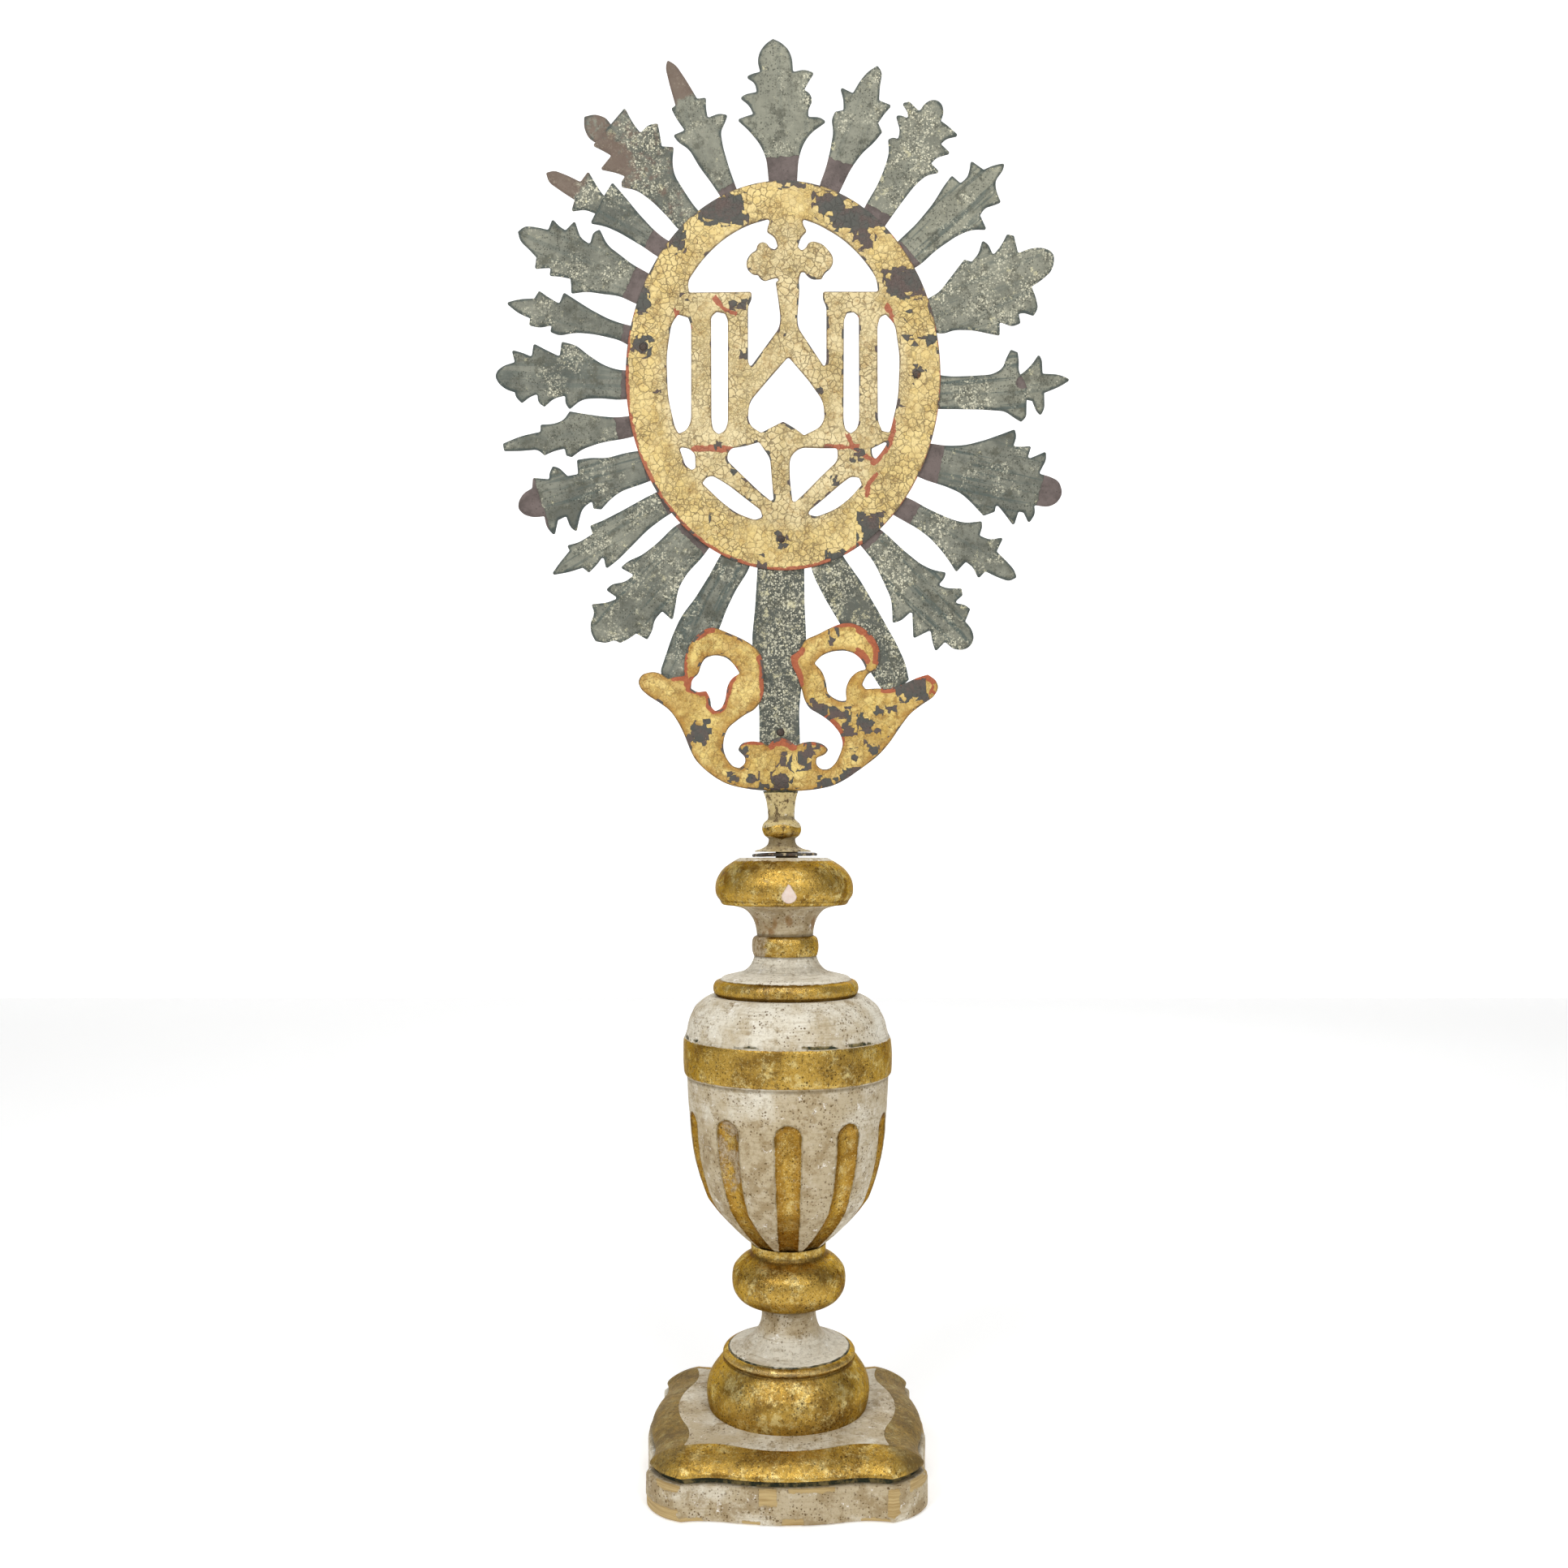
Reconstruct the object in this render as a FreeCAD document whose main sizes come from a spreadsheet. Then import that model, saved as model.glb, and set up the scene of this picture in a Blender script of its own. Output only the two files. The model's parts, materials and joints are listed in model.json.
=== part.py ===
"""Sunburst monstrance: a pierced sheet-metal oval with leaf-shaped rays, standing on a turned wooden urn.

Frame: millimetres, +Z up, the front faces -Y, origin on the underside at the middle of the plinth.
Three bodies move against each other: the base, the tin collar on its knop, and the head whose
turned stem has a tenon that drops into the knop.
"""
import FreeCAD, Part
import math
import os

import Sketcher

Vector = FreeCAD.Vector
doc = FreeCAD.newDocument("monstrance")
sheet = doc.addObject("Spreadsheet::Sheet", "Sizes")
SIZE = {}


def put(alias, value):
    """Write one driving dimension into the spreadsheet and remember its value."""
    row = len(SIZE) + 1
    sheet.set(f"A{row}", alias)
    sheet.set(f"B{row}", str(value))
    sheet.setAlias(f"B{row}", alias)
    SIZE[alias] = value


DRIVING = {
    # plinth: two serpentine boards
    "plinth_depth_ratio": 0.95, "plinth_forward": 3.8,
    "slab_height": 17.2, "slab_corner_near": 51.5, "slab_corner_far": 69.9,
    "slab_side_bulge": 73.2, "slab_side_hollow": 68.6, "slab_corner_swell": 1.5,
    "step_height": 3.2, "step_inset": 1.8,
    "moulding_foot": 20.0, "moulding_top": 29.5,
    "moulding_corner_near": 51.0, "moulding_corner_far": 68.0, "moulding_side_bulge": 71.3,
    "moulding_side_hollow": 66.4,
    "top_corner": 51.0, "top_side_bulge": 57.6, "top_side_hollow": 49.4,
    "nail_radius": 1.5, "nail_inset": 42.0, "nail_length": 24.0,
    # turned sections are dowelled together by a tenon below and a socket above
    "dowel_radius": 8.0, "dowel_length": 7.0, "dowel_play": 0.1,
    # gouged flutes of the urn
    "flute_count": 10, "flute_radius": 10.5, "flute_depth": 2.6, "flute_foot_depth": 1.4,
    "flute_top": 181.5,
    # tenon joint of the head
    "tenon_radius": 6.0, "tenon_play": 0.05, "tenon_length": 40.0, "bore_spare": 2.0,
    "knop_top": 320.8, "stem_foot": 324.0,
    "collar_foot": 321.0, "collar_thickness": 0.8, "collar_radius": 17.4, "collar_rise": 1.9,
    # metal sheets of the head
    "sheet_thickness": 1.2, "ray_thickness": 1.0, "sunburst_offset": -2.0,
    "oval_centre": 579.4, "oval_half_width": 84.4, "oval_half_height": 104.5,
    "opening_centre": 582.8, "opening_half_width": 62.8, "opening_half_height": 81.3,
    "strut_depth": 2.5, "strut_foot": 333.0, "strut_shoulder": 357.2, "strut_top": 499.0,
    "strut_left": -6.1, "strut_right": 1.9, "tang_left": -3.4, "tang_right": 1.4,
    "rivet_radius": 1.2, "rivet_head_radius": 2.1, "rivet_head_height": 0.8,
}
for alias, value in DRIVING.items():
    put(alias, value)


# ---------------------------------------------------------------- sketches and features

def add_body(label):
    body = doc.addObject("PartDesign::Body", label)
    body.Label = label
    return body


def plane(body, role):
    return next(f for f in body.Origin.OriginFeatures if f.Role == role)


def add_sketch(body, name, geometry, role="XZ_Plane"):
    """Sketch the geometry on one of the body's own origin planes."""
    sketch = body.newObject("Sketcher::SketchObject", name)
    sketch.AttachmentSupport = [(plane(body, role), "")]
    sketch.MapMode = "FlatFace"
    sketch.addGeometry(geometry, False)
    return sketch


def add_pad(body, sketch, length, both_ways=False, backwards=False):
    """Pad a sketch by the length in a spreadsheet cell."""
    pad = body.newObject("PartDesign::Pad", sketch.Name + "_pad")
    pad.Profile = sketch
    pad.setExpression("Length", "Sizes." + length)
    if both_ways:
        pad.SideType = "Symmetric"
    pad.Reversed = backwards
    sketch.Visibility = False
    return pad


def add_pocket(body, sketch):
    """Cut a sketch right through the body, both ways."""
    pocket = body.newObject("PartDesign::Pocket", sketch.Name + "_pocket")
    pocket.Profile = sketch
    pocket.Type = "ThroughAll"
    pocket.SideType = "Symmetric"
    return pocket


SHARP_TURN = math.radians(50)
LARGEST_ARC = 60.0


def rounded(points, corner_radius):
    """Closed outline: straight runs between the points, joined by tangent arcs.

    A point that turns sharply is a real corner and gets a small arc; any other lies on a flowing
    edge and gets the largest arc that its two runs allow.
    """
    starts, arcs, ends = [], [], []
    for i, point in enumerate(points):
        here = Vector(point[0], point[1], 0)
        before = Vector(*points[i - 1], 0)
        after = Vector(*points[(i + 1) % len(points)], 0)
        run_in, run_out = here - before, after - here
        turn = run_in.getAngle(run_out)
        if turn < math.radians(1):
            starts.append(here)
            arcs.append(None)
            ends.append(here)
            continue
        room = 0.45 * min(run_in.Length, run_out.Length) / math.tan(turn / 2)
        radius = min(room, corner_radius if turn > SHARP_TURN else LARGEST_ARC)
        tangent = radius * math.tan(turn / 2)
        into = Vector(run_in).normalize()
        onward = Vector(run_out).normalize()
        bisector = (onward - into).normalize()
        middle = here + bisector * (radius / math.cos(turn / 2) - radius)
        starts.append(here - into * tangent)
        ends.append(here + onward * tangent)
        arcs.append(Part.ArcOfCircle(starts[-1], middle, ends[-1]))
    geometry = []
    for i in range(len(points)):
        if arcs[i]:
            geometry.append(arcs[i])
        following = starts[(i + 1) % len(points)]
        if (following - ends[i]).Length > 1e-6:
            geometry.append(Part.LineSegment(ends[i], following))
    return geometry


def polyline_with_arcs(stations):
    """Closed outline of (x, y) stations; a third value is how far the edge that leads there bows out.

    Outwards is to the right of the way the outline runs.
    """
    geometry = []
    for i, station in enumerate(stations):
        start = Vector(*stations[i - 1][:2], 0)
        end = Vector(*station[:2], 0)
        bow = station[2] if len(station) > 2 else 0
        if bow:
            run = end - start
            outward = Vector(run.y, -run.x, 0).normalize()
            geometry.append(Part.ArcOfCircle(start, (start + end) * 0.5 + outward * bow, end))
        else:
            geometry.append(Part.LineSegment(start, end))
    return geometry


def circle(x, y, radius):
    return Part.Circle(Vector(x, y, 0), Vector(0, 0, 1), radius)


# ---------------------------------------------------------------- turned wooden sections

def turned(label, stations, tenon=True, socket=0.0):
    """Turn one section on the Z axis from (radius, height, bow) stations, listed upwards.

    Each station is a pair of spreadsheet cells that drive the profile. The section gets a dowel
    below, unless tenon is False, and a dowel hole of the given depth above.
    """
    foot, top = stations[0][1], stations[-1][1]
    dowel = SIZE["dowel_radius"]
    outline = []
    if tenon:
        outline += [(0, foot - SIZE["dowel_length"]), (dowel, foot - SIZE["dowel_length"]), (dowel, foot)]
    else:
        outline += [(0, foot)]
    first = len(outline)
    outline += stations
    last = len(outline)
    if socket:
        hole = dowel + SIZE["dowel_play"]
        outline += [(hole, top), (hole, top - socket), (0, top - socket)]
    else:
        outline += [(0, top)]
    body = add_body(label)
    sketch = add_sketch(body, label + "_profile", polyline_with_arcs(outline))
    drive_profile(sketch, label, outline, first, last)
    revolve(body, sketch)
    return body


def edge_ends(station):
    """Sketch numbers of the two ends of the edge that leads to a station.

    A sketch counts every arc anticlockwise, so a hollow one has its ends the other way round.
    """
    hollow = len(station) > 2 and station[2] < 0
    return (2, 1) if hollow else (1, 2)


def drive_profile(sketch, label, outline, first, last):
    """Join the edges of a profile end to end, and drive its stations from the spreadsheet."""
    count = len(outline)
    for i in range(count):
        following = (i + 1) % count
        sketch.addConstraint(Sketcher.Constraint("Coincident", i, edge_ends(outline[i])[1],
                                                 following, edge_ends(outline[following])[0]))
    for i in range(first, last):
        bind_station(sketch, label, i, i - first, outline[i])


def bind_station(sketch, label, edge, number, station):
    """Drive the end of one profile edge by a radius cell and a height cell."""
    for kind, value in (("DistanceX", station[0]), ("DistanceY", station[1])):
        alias = f"{label}_{'radius' if kind == 'DistanceX' else 'height'}_{number}"
        put(alias, value)
        index = sketch.addConstraint(Sketcher.Constraint(kind, -1, 1, edge, edge_ends(station)[1], value))
        sketch.setExpression(f"Constraints[{index}]", "Sizes." + alias)


def revolve(body, sketch):
    turn = body.newObject("PartDesign::Revolution", sketch.Name + "_turn")
    turn.Profile = sketch
    turn.ReferenceAxis = (sketch, ["V_Axis"])
    turn.Angle = 360
    sketch.Visibility = False
    return turn


def bore(body, name, radius, low, high):
    """Bore a vertical round hole on the Z axis between two heights."""
    hole = add_sketch(body, name, polyline_with_arcs([(0, low), (radius, low), (radius, high), (0, high)]))
    groove = body.newObject("PartDesign::Groove", name + "_cut")
    groove.Profile = hole
    groove.ReferenceAxis = (hole, ["V_Axis"])
    groove.Angle = 360
    hole.Visibility = False


SECTIONS = {
    "foot_moulding": [(42.3, 29.5), (43.5, 37.6, 0.3), (38.8, 50.0, 1.3), (35.2, 54.2, 0.3), (34.2, 54.8),
                      (34.6, 55.4), (34.4, 58.8, 1.2), (33.2, 59.4)],
    "foot_spool": [(32.8, 59.4), (32.2, 60.2), (18.0, 67.0, -2.0), (14.4, 76.5, -0.8), (14.4, 80.6),
                   (15.2, 82.6, -0.1)],
    "lower_knob": [(17.4, 82.6), (24.4, 84.8, 0.2), (28.4, 88.6, 0.4), (30.2, 94.2, 0.4), (30.1, 99.4, 0.2),
                   (27.8, 104.2, 0.5), (23.4, 108.0, 0.3), (20.6, 109.6, -0.2), (20.0, 110.6), (20.0, 115.2)],
    "urn_shoulder": [(54.6, 225.6), (53.2, 230.2, -0.1), (50.4, 238.4, 0.5), (46.2, 243.8, 0.7),
                     (40.6, 247.3, 0.5)],
    "lid": [(37.2, 247.3), (37.4, 255.2, 1.7), (34.8, 255.8), (33.6, 257.4, 0.3), (24.6, 259.5),
            (19.0, 263.2, -0.6), (16.7, 268.6, -0.3)],
    "neck_ring": [(16.9, 268.6), (17.1, 278.4, 0.9), (15.4, 279.2)],
    "knop_spool": [(15.0, 279.2), (16.2, 286.0, -0.2), (18.9, 291.0, -0.3), (23.6, 294.2, -0.5),
                   (31.4, 295.8, -0.2)],
    "knop": [(32.8, 295.8), (34.3, 298.0, 0.5), (34.8, 298.6), (36.9, 304.0, 0.7), (34.6, 312.2, 0.7),
             (29.6, 317.2, 0.5), (23.4, 320.8, 0.2)],
}
BOWL = [(19.6, 115.2), (20.6, 116.0), (43.0, 140.0, 1.3), (52.2, 180.0, 1.9), (53.8, 205.4, 0.2),
        (55.4, 206.8, 0.15), (55.4, 224.6, 0.35), (54.8, 225.6)]


def make_turned_sections():
    """Everything turned, from the foot to the knop, apart from the fluted urn."""
    for label, stations in SECTIONS.items():
        last = label == "knop"
        tenon = label not in ("knop_spool", "knop")
        section = turned(label, stations, tenon, 0 if last or label == "neck_ring" else socket_depth())
        if label in ("knop_spool", "knop"):
            bottom = SIZE["knop_top"] - SIZE["tenon_length"] - SIZE["bore_spare"]
            radius = SIZE["tenon_radius"] + SIZE["tenon_play"]
            low = max(bottom, stations[0][1] - 1)
            bore(section, label + "_bore", radius, low, stations[-1][1] + 1)


def socket_depth():
    return SIZE["dowel_length"] + 0.5


def spline_through(points):
    curve = Part.BSplineCurve()
    curve.interpolate([Vector(radius, 0, height) for radius, height in points])
    return curve


def flute_gouges(stations):
    """Ten round-nosed gouges that follow the urn's side, as one compound of solids."""
    radius = SIZE["flute_radius"]
    foot, waist, top = stations[1], stations[2], stations[3]
    wall = [Part.Arc(Vector(foot[0], 0, foot[1]), arc_middle(foot, waist), Vector(waist[0], 0, waist[1])),
            Part.Arc(Vector(waist[0], 0, waist[1]), arc_middle(waist, top), Vector(top[0], 0, top[1]))]
    path = []
    steps = [(wall[0], 0.0), (wall[0], 0.33), (wall[0], 0.67), (wall[1], 0.02), (wall[1], 0.33),
             (wall[1], 0.67), (wall[1], 1.0)]
    for number, (arc, along) in enumerate(steps):
        shape = arc.toShape()
        at = shape.FirstParameter + along * (shape.LastParameter - shape.FirstParameter)
        point, tangent = shape.valueAt(at), shape.tangentAt(at)
        outward = Vector(tangent.z, 0, -tangent.x)
        share = number / (len(steps) - 1)
        depth = SIZE["flute_foot_depth"] * (1 - share) + SIZE["flute_depth"] * share
        path.append(point + outward * (radius - depth))
    path.insert(0, path[0] + (path[0] - path[1]).normalize() * radius)
    curve = Part.BSplineCurve()
    curve.interpolate(path)
    start, heading = curve.value(curve.FirstParameter), curve.tangent(curve.FirstParameter)[0]
    profile = Part.Wire(Part.Circle(start, heading, radius).toShape())
    rod = Part.Wire(curve.toShape()).makePipeShell([profile], True, True)
    nose = Part.makeSphere(radius, path[-1])
    gouge = rod.fuse(nose)
    turns = int(SIZE["flute_count"])
    copies = []
    for number in range(turns):
        copy = gouge.copy()
        copy.rotate(Vector(0, 0, 0), Vector(0, 0, 1), 360 / turns * number - 90)
        copies.append(copy)
    return Part.Compound(copies)


def arc_middle(start, end):
    """Middle point of the bowed profile edge between two stations."""
    run = Vector(end[0] - start[0], 0, end[1] - start[1])
    outward = Vector(run.z, 0, -run.x).normalize()
    return Vector((start[0] + end[0]) / 2, 0, (start[1] + end[1]) / 2) + outward * end[2]


def make_urn_bowl():
    """Turned urn with its rim band, cut by the flutes."""
    blank = turned("urn_blank", BOWL, True, socket_depth())
    doc.recompute()
    gouges = doc.addObject("Part::Feature", "flute_gouges")
    gouges.Shape = flute_gouges(BOWL)
    bowl = doc.addObject("Part::Cut", "urn_bowl")
    bowl.Label = "urn_bowl"
    bowl.Base = blank
    bowl.Tool = gouges


# ---------------------------------------------------------------- plinth

def serpentine(near, far, bulge, hollow, swell):
    """Plan of a board with cut-off corners and sides that swell in the middle.

    Stations run anticlockwise from the front left: near and far are a corner's two distances from
    the middle lines, bulge and hollow how far out a side reaches at its middle and between. The
    board is a little shallower than wide, and its middle lies in front of the urn's axis.
    """
    half = 0.51 * near
    meet = hollow + 0.35 * (bulge - hollow)
    dip = 0.5 * (far + meet) - hollow
    side = [(-near, -far, swell), (-half, -meet, -dip), (half, -meet, bulge - meet), (near, -far, -dip)]
    outline = []
    for quarter in range(4):
        for x, y, bow in side:
            for _ in range(quarter):
                x, y = -y, x
            outline.append((x, y * SIZE["plinth_depth_ratio"] - SIZE["plinth_forward"], bow))
    return outline


def corner_nails():
    inset = SIZE["nail_inset"]
    return [(inset * a, inset * b) for a, b in ((1, 1), (-1, 1), (-1, -1), (1, -1))]


def make_plinth_slab():
    body = add_body("plinth_slab")
    plan = serpentine(SIZE["slab_corner_near"], SIZE["slab_corner_far"], SIZE["slab_side_bulge"],
                      SIZE["slab_side_hollow"], SIZE["slab_corner_swell"])
    holes = [circle(x, y, SIZE["nail_radius"]) for x, y in corner_nails()]
    add_pad(body, add_sketch(body, "slab_plan", polyline_with_arcs(plan) + holes, "XY_Plane"), "slab_height")


def plan_wire(outline, height):
    edges = [g.toShape() for g in polyline_with_arcs(outline)]
    wire = Part.Wire(edges)
    wire.translate(Vector(0, 0, height))
    return wire


def make_plinth_moulding():
    """Gilt board: a recessed step, then an ovolo that runs in from the serpentine edge to a square top."""
    outer = serpentine(SIZE["moulding_corner_near"], SIZE["moulding_corner_far"],
                       SIZE["moulding_side_bulge"], SIZE["moulding_side_hollow"], 1.0)
    corner = SIZE["top_corner"]
    inner = serpentine(corner - 0.6, corner, SIZE["top_side_bulge"], SIZE["top_side_hollow"], 0.1)
    rise = SIZE["moulding_top"] - SIZE["moulding_foot"]
    wires = []
    for inward, upward in ((0, 0), (0.015, 0.2), (0.16, 0.46), (0.42, 0.72), (0.75, 0.9), (1, 1)):
        plan = [(a[0] + (b[0] - a[0]) * inward, a[1] + (b[1] - a[1]) * inward,
                 a[2] + (b[2] - a[2]) * inward) for a, b in zip(outer, inner)]
        wires.append(plan_wire(plan, SIZE["moulding_foot"] + rise * upward))
    ovolo = Part.makeLoft(wires, True, False)
    inset = SIZE["step_inset"]
    recessed = serpentine(SIZE["moulding_corner_near"] - inset, SIZE["moulding_corner_far"] - inset,
                          SIZE["moulding_side_bulge"] - inset, SIZE["moulding_side_hollow"] - inset, 1.0)
    step_plan = Part.Face(plan_wire(recessed, SIZE["slab_height"]))
    step = step_plan.extrude(Vector(0, 0, SIZE["step_height"]))
    board = step.fuse(ovolo)
    hole_depth = socket_depth()
    board = board.cut(Part.makeCylinder(SIZE["dowel_radius"] + SIZE["dowel_play"], hole_depth,
                                        Vector(0, 0, SIZE["moulding_top"] - hole_depth)))
    for x, y in corner_nails():
        board = board.cut(Part.makeCylinder(SIZE["nail_radius"], SIZE["nail_length"], Vector(x, y, 0)))
    moulding = doc.addObject("Part::Feature", "plinth_moulding")
    moulding.Label = "plinth_moulding"
    moulding.Shape = board.removeSplitter()


def make_plinth_nails():
    """Four nails driven up through the slab, their heads flush with its underside."""
    body = add_body("plinth_nails")
    shanks = [circle(x, y, SIZE["nail_radius"]) for x, y in corner_nails()]
    first = add_pad(body, add_sketch(body, "nail_plan", shanks[:1], "XY_Plane"), "nail_length")
    pattern = body.newObject("PartDesign::PolarPattern", "nail_pattern")
    pattern.Originals = [first]
    pattern.Axis = (plane_axis(body, "Z_Axis"), [""])
    pattern.Angle = 360
    pattern.Occurrences = 4
    body.Tip = pattern


def plane_axis(body, role):
    return next(f for f in body.Origin.OriginFeatures if f.Role == role)


# ---------------------------------------------------------------- stem and collar

STEM = [(15.3, 324.0), (14.6, 324.9, 0.1), (7.6, 328.0, -0.7), (6.9, 331.2), (8.5, 331.9), (8.7, 340.4, 2.0),
        (7.1, 341.3), (7.4, 347.8, -0.15), (9.4, 356.4, -0.35)]


def make_stem():
    """Turned wooden stem; its tenon drops into the knop and the strut's tang sits in its top."""
    outline_foot = SIZE["knop_top"] - SIZE["tenon_length"]
    body = add_body("stem")
    tenon = SIZE["tenon_radius"]
    outline = [(0, outline_foot), (tenon - 0.8, outline_foot), (tenon, outline_foot + 0.8),
               (tenon, SIZE["stem_foot"])]
    first = len(outline)
    outline += STEM + [(0, STEM[-1][1])]
    sketch = add_sketch(body, "stem_profile", polyline_with_arcs(outline))
    drive_profile(sketch, "stem", outline, first, first + len(STEM))
    revolve(body, sketch)
    play = 0.1
    low = SIZE["sheet_thickness"] / 2 + SIZE["ray_thickness"] - play
    high = low + SIZE["strut_depth"] + 2 * play
    left, right = SIZE["tang_left"], SIZE["tang_right"]
    mortise = add_sketch(body, "stem_mortise", rectangle(left - play, low, right + play, high), "XY_Plane")
    pocket = body.newObject("PartDesign::Pocket", "mortise_cut")
    pocket.Profile = mortise
    mortise.AttachmentOffset = FreeCAD.Placement(Vector(0, 0, STEM[-1][1]), FreeCAD.Rotation())
    pocket.setExpression("Length", f"{STEM[-1][1]} - Sizes.strut_foot")


def rectangle(x0, y0, x1, y1):
    return polyline_with_arcs([(x0, y0), (x1, y0), (x1, y1), (x0, y1)])


def make_collar():
    """Dished tin washer between the knop and the stem, free on the tenon."""
    body = add_body("stem_collar")
    hole = SIZE["tenon_radius"] + 0.4
    rim, foot, thick = SIZE["collar_radius"], SIZE["collar_foot"], SIZE["collar_thickness"]
    crown = foot + SIZE["collar_rise"]
    outline = [(hole, crown), (rim - 5, foot + 0.7), (rim, foot), (rim, foot + thick),
               (rim - 5, foot + 0.7 + thick), (hole, crown + thick)]
    sketch = add_sketch(body, "collar_profile", polyline_with_arcs(outline))
    revolve(body, sketch)


# ---------------------------------------------------------------- metal sheets of the head

def oval_edge(side, *heights):
    """Points on the oval opening at the given heights, on its left (-1) or right (1) side."""
    points = []
    for height in heights:
        share = (height - SIZE["opening_centre"]) / SIZE["opening_half_height"]
        points.append((side * SIZE["opening_half_width"] * math.sqrt(1 - share * share), height))
    return points


def tracery():
    """The openings sawn in the oval plate: (x, height) points from the middle of the oval.

    What is left between them is a cross with lobed arms on a gable, two pairs of columns under a
    moulded rail, and three nails that meet at the foot.
    """
    upper_left = [(-50.4, 623.8), (-17.0, 624.2), (-16.8, 620.4), (-18.8, 616.4),
                  (-18.8, 587.0), (-17.6, 583.6), (-2.2, 604.6), (-1.4, 610.0), (-2.6, 620.0), (-4.0, 629.2), (-2.2, 630.6), (-3.4, 631.8), (-6.5, 631.0), (-9.8, 629.9),
                  (-12.2, 631.2), (-13.5, 633.3), (-16.2, 633.5), (-19.0, 636.0), (-19.9, 639.4),
                  (-18.8, 642.8), (-16.6, 645.2), (-14.4, 646.4), (-13.7, 649.6), (-11.2, 651.0),
                  (-8.8, 650.2), (-7.2, 647.8), (-4.4, 646.8), (-2.9, 648.6), (-4.4, 653.6), (-8.6, 656.2),
                  (-8.4, 658.4), (-6.6, 663.6)]
    upper_right = [(10.6, 663.2), (10.6, 660.4), (12.7, 656.6), (9.4, 653.2), (7.9, 648.4), (9.8, 646.2),
                   (12.2, 647.6), (13.6, 650.4), (16.2, 651.2), (21.0, 649.8), (24.0, 646.8), (26.6, 643.4),
                   (26.9, 639.6), (25.2, 636.4), (22.4, 634.4), (20.6, 631.0), (15.8, 630.8), (13.2, 632.4),
                   (11.4, 634.8), (9.6, 634.8), (8.4, 630.6), (8.8, 625.0), (7.6, 610.0), (8.2, 604.6),
                   (22.2, 583.6), (23.2, 587.0), (23.2, 616.4), (21.2, 620.4), (21.4, 624.2), (51.0, 624.2)]
    left_gap = [(-49.3, 606.0), (-49.3, 555.0), (-51.6, 550.0), (-56.0, 548.0)]
    right_gap = [(50.8, 555.0), (50.6, 606.0), (52.0, 610.8), (55.0, 612.2)]
    window = [(-18.8, 556.0), (-17.0, 551.8), (-11.8, 548.6), (-6.0, 551.6), (0.0, 554.6), (6.0, 551.2),
              (11.2, 547.2), (19.6, 551.4), (22.2, 556.0), (21.6, 565.6), (13.4, 577.0), (2.8, 589.4),
              (-8.2, 576.8), (-18.2, 565.0)]
    return [
        upper_left + oval_edge(-1, 660.0, 652.0, 641.0, 630.0),
        upper_right + oval_edge(1, 632.0, 643.0, 653.0, 660.4),
        left_gap + oval_edge(-1, 552.0, 568.0, 590.0, 607.0) + [(-56.4, 612.2), (-51.0, 610.6)],
        right_gap + oval_edge(1, 607.0, 590.0, 568.0, 552.0) + [(57.0, 548.6), (53.0, 549.6)],
        [(-38.6, 611.0), (-35.6, 613.6), (-31.2, 612.6), (-29.6, 609.0), (-29.6, 554.0), (-31.2, 549.6),
         (-34.6, 547.8), (-37.4, 550.0), (-38.4, 555.0)],
        [(32.6, 609.0), (34.2, 612.8), (37.8, 613.4), (40.6, 611.0), (40.8, 555.0), (39.4, 550.4),
         (36.2, 548.2), (33.4, 550.2), (32.4, 555.0)],
        window,
        [(-29.8, 537.4), (-27.8, 540.4), (-20.0, 541.6), (-12.9, 543.8), (-10.2, 539.8), (-7.0, 535.2),
         (-6.4, 528.0), (-5.0, 510.8), (-12.6, 517.0), (-21.0, 525.0), (-29.8, 533.6)],
        [(29.4, 533.8), (29.0, 540.4), (20.0, 540.4), (9.0, 540.8), (3.6, 535.6), (3.6, 524.0), (5.2, 510.4),
         (11.0, 515.6), (20.0, 524.8)],
        [(-43.4, 521.6), (-41.0, 524.8), (-37.8, 525.6), (-30.0, 521.2), (-20.0, 513.4), (-12.0, 507.2),
         (-11.2, 503.4), (-15.0, 501.8), (-25.0, 505.4), (-34.0, 512.4)],
        [(13.4, 504.8), (14.4, 507.2), (22.0, 513.4), (31.0, 521.2), (36.4, 525.2), (40.8, 524.6),
         (42.2, 520.8), (36.0, 513.6), (28.0, 507.4), (18.0, 503.6)],
        [(-55.8, 541.2), (-50.0, 540.0), (-47.2, 537.2), (-47.0, 529.6), (-49.0, 528.6), (-52.4, 531.0)],
        [(47.4, 540.2), (56.8, 544.8), (53.6, 539.2), (49.4, 534.2), (47.8, 536.4)],
    ]


def make_ring_plate():
    body = add_body("ring_plate")
    middle = Vector(0, SIZE["oval_centre"], 0)
    oval = Part.Ellipse(middle + Vector(0, SIZE["oval_half_height"], 0),
                        middle + Vector(SIZE["oval_half_width"], 0, 0), middle)
    holes = [circle(x, z, SIZE["rivet_radius"]) for x, z, _, _ in RIVETS if z > 480]
    add_pad(body, add_sketch(body, "oval", [oval] + holes), "sheet_thickness", both_ways=True)
    for number, points in enumerate(tracery()):
        add_pocket(body, add_sketch(body, f"opening_{number:02d}", rounded(points, 1.2)))
    place_sheet(body, layer=0)


def place_sheet(body, layer):
    """Shift a sheet to the sunburst's middle, and to its layer: 0 in front, 1 behind, 2 behind that."""
    body.setExpression("Placement.Base.x", "Sizes.sunburst_offset")
    if layer == 1:
        body.setExpression("Placement.Base.y", "Sizes.sheet_thickness / 2")
    if layer == 2:
        body.setExpression("Placement.Base.y", "Sizes.sheet_thickness / 2 + Sizes.ray_thickness")


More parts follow.
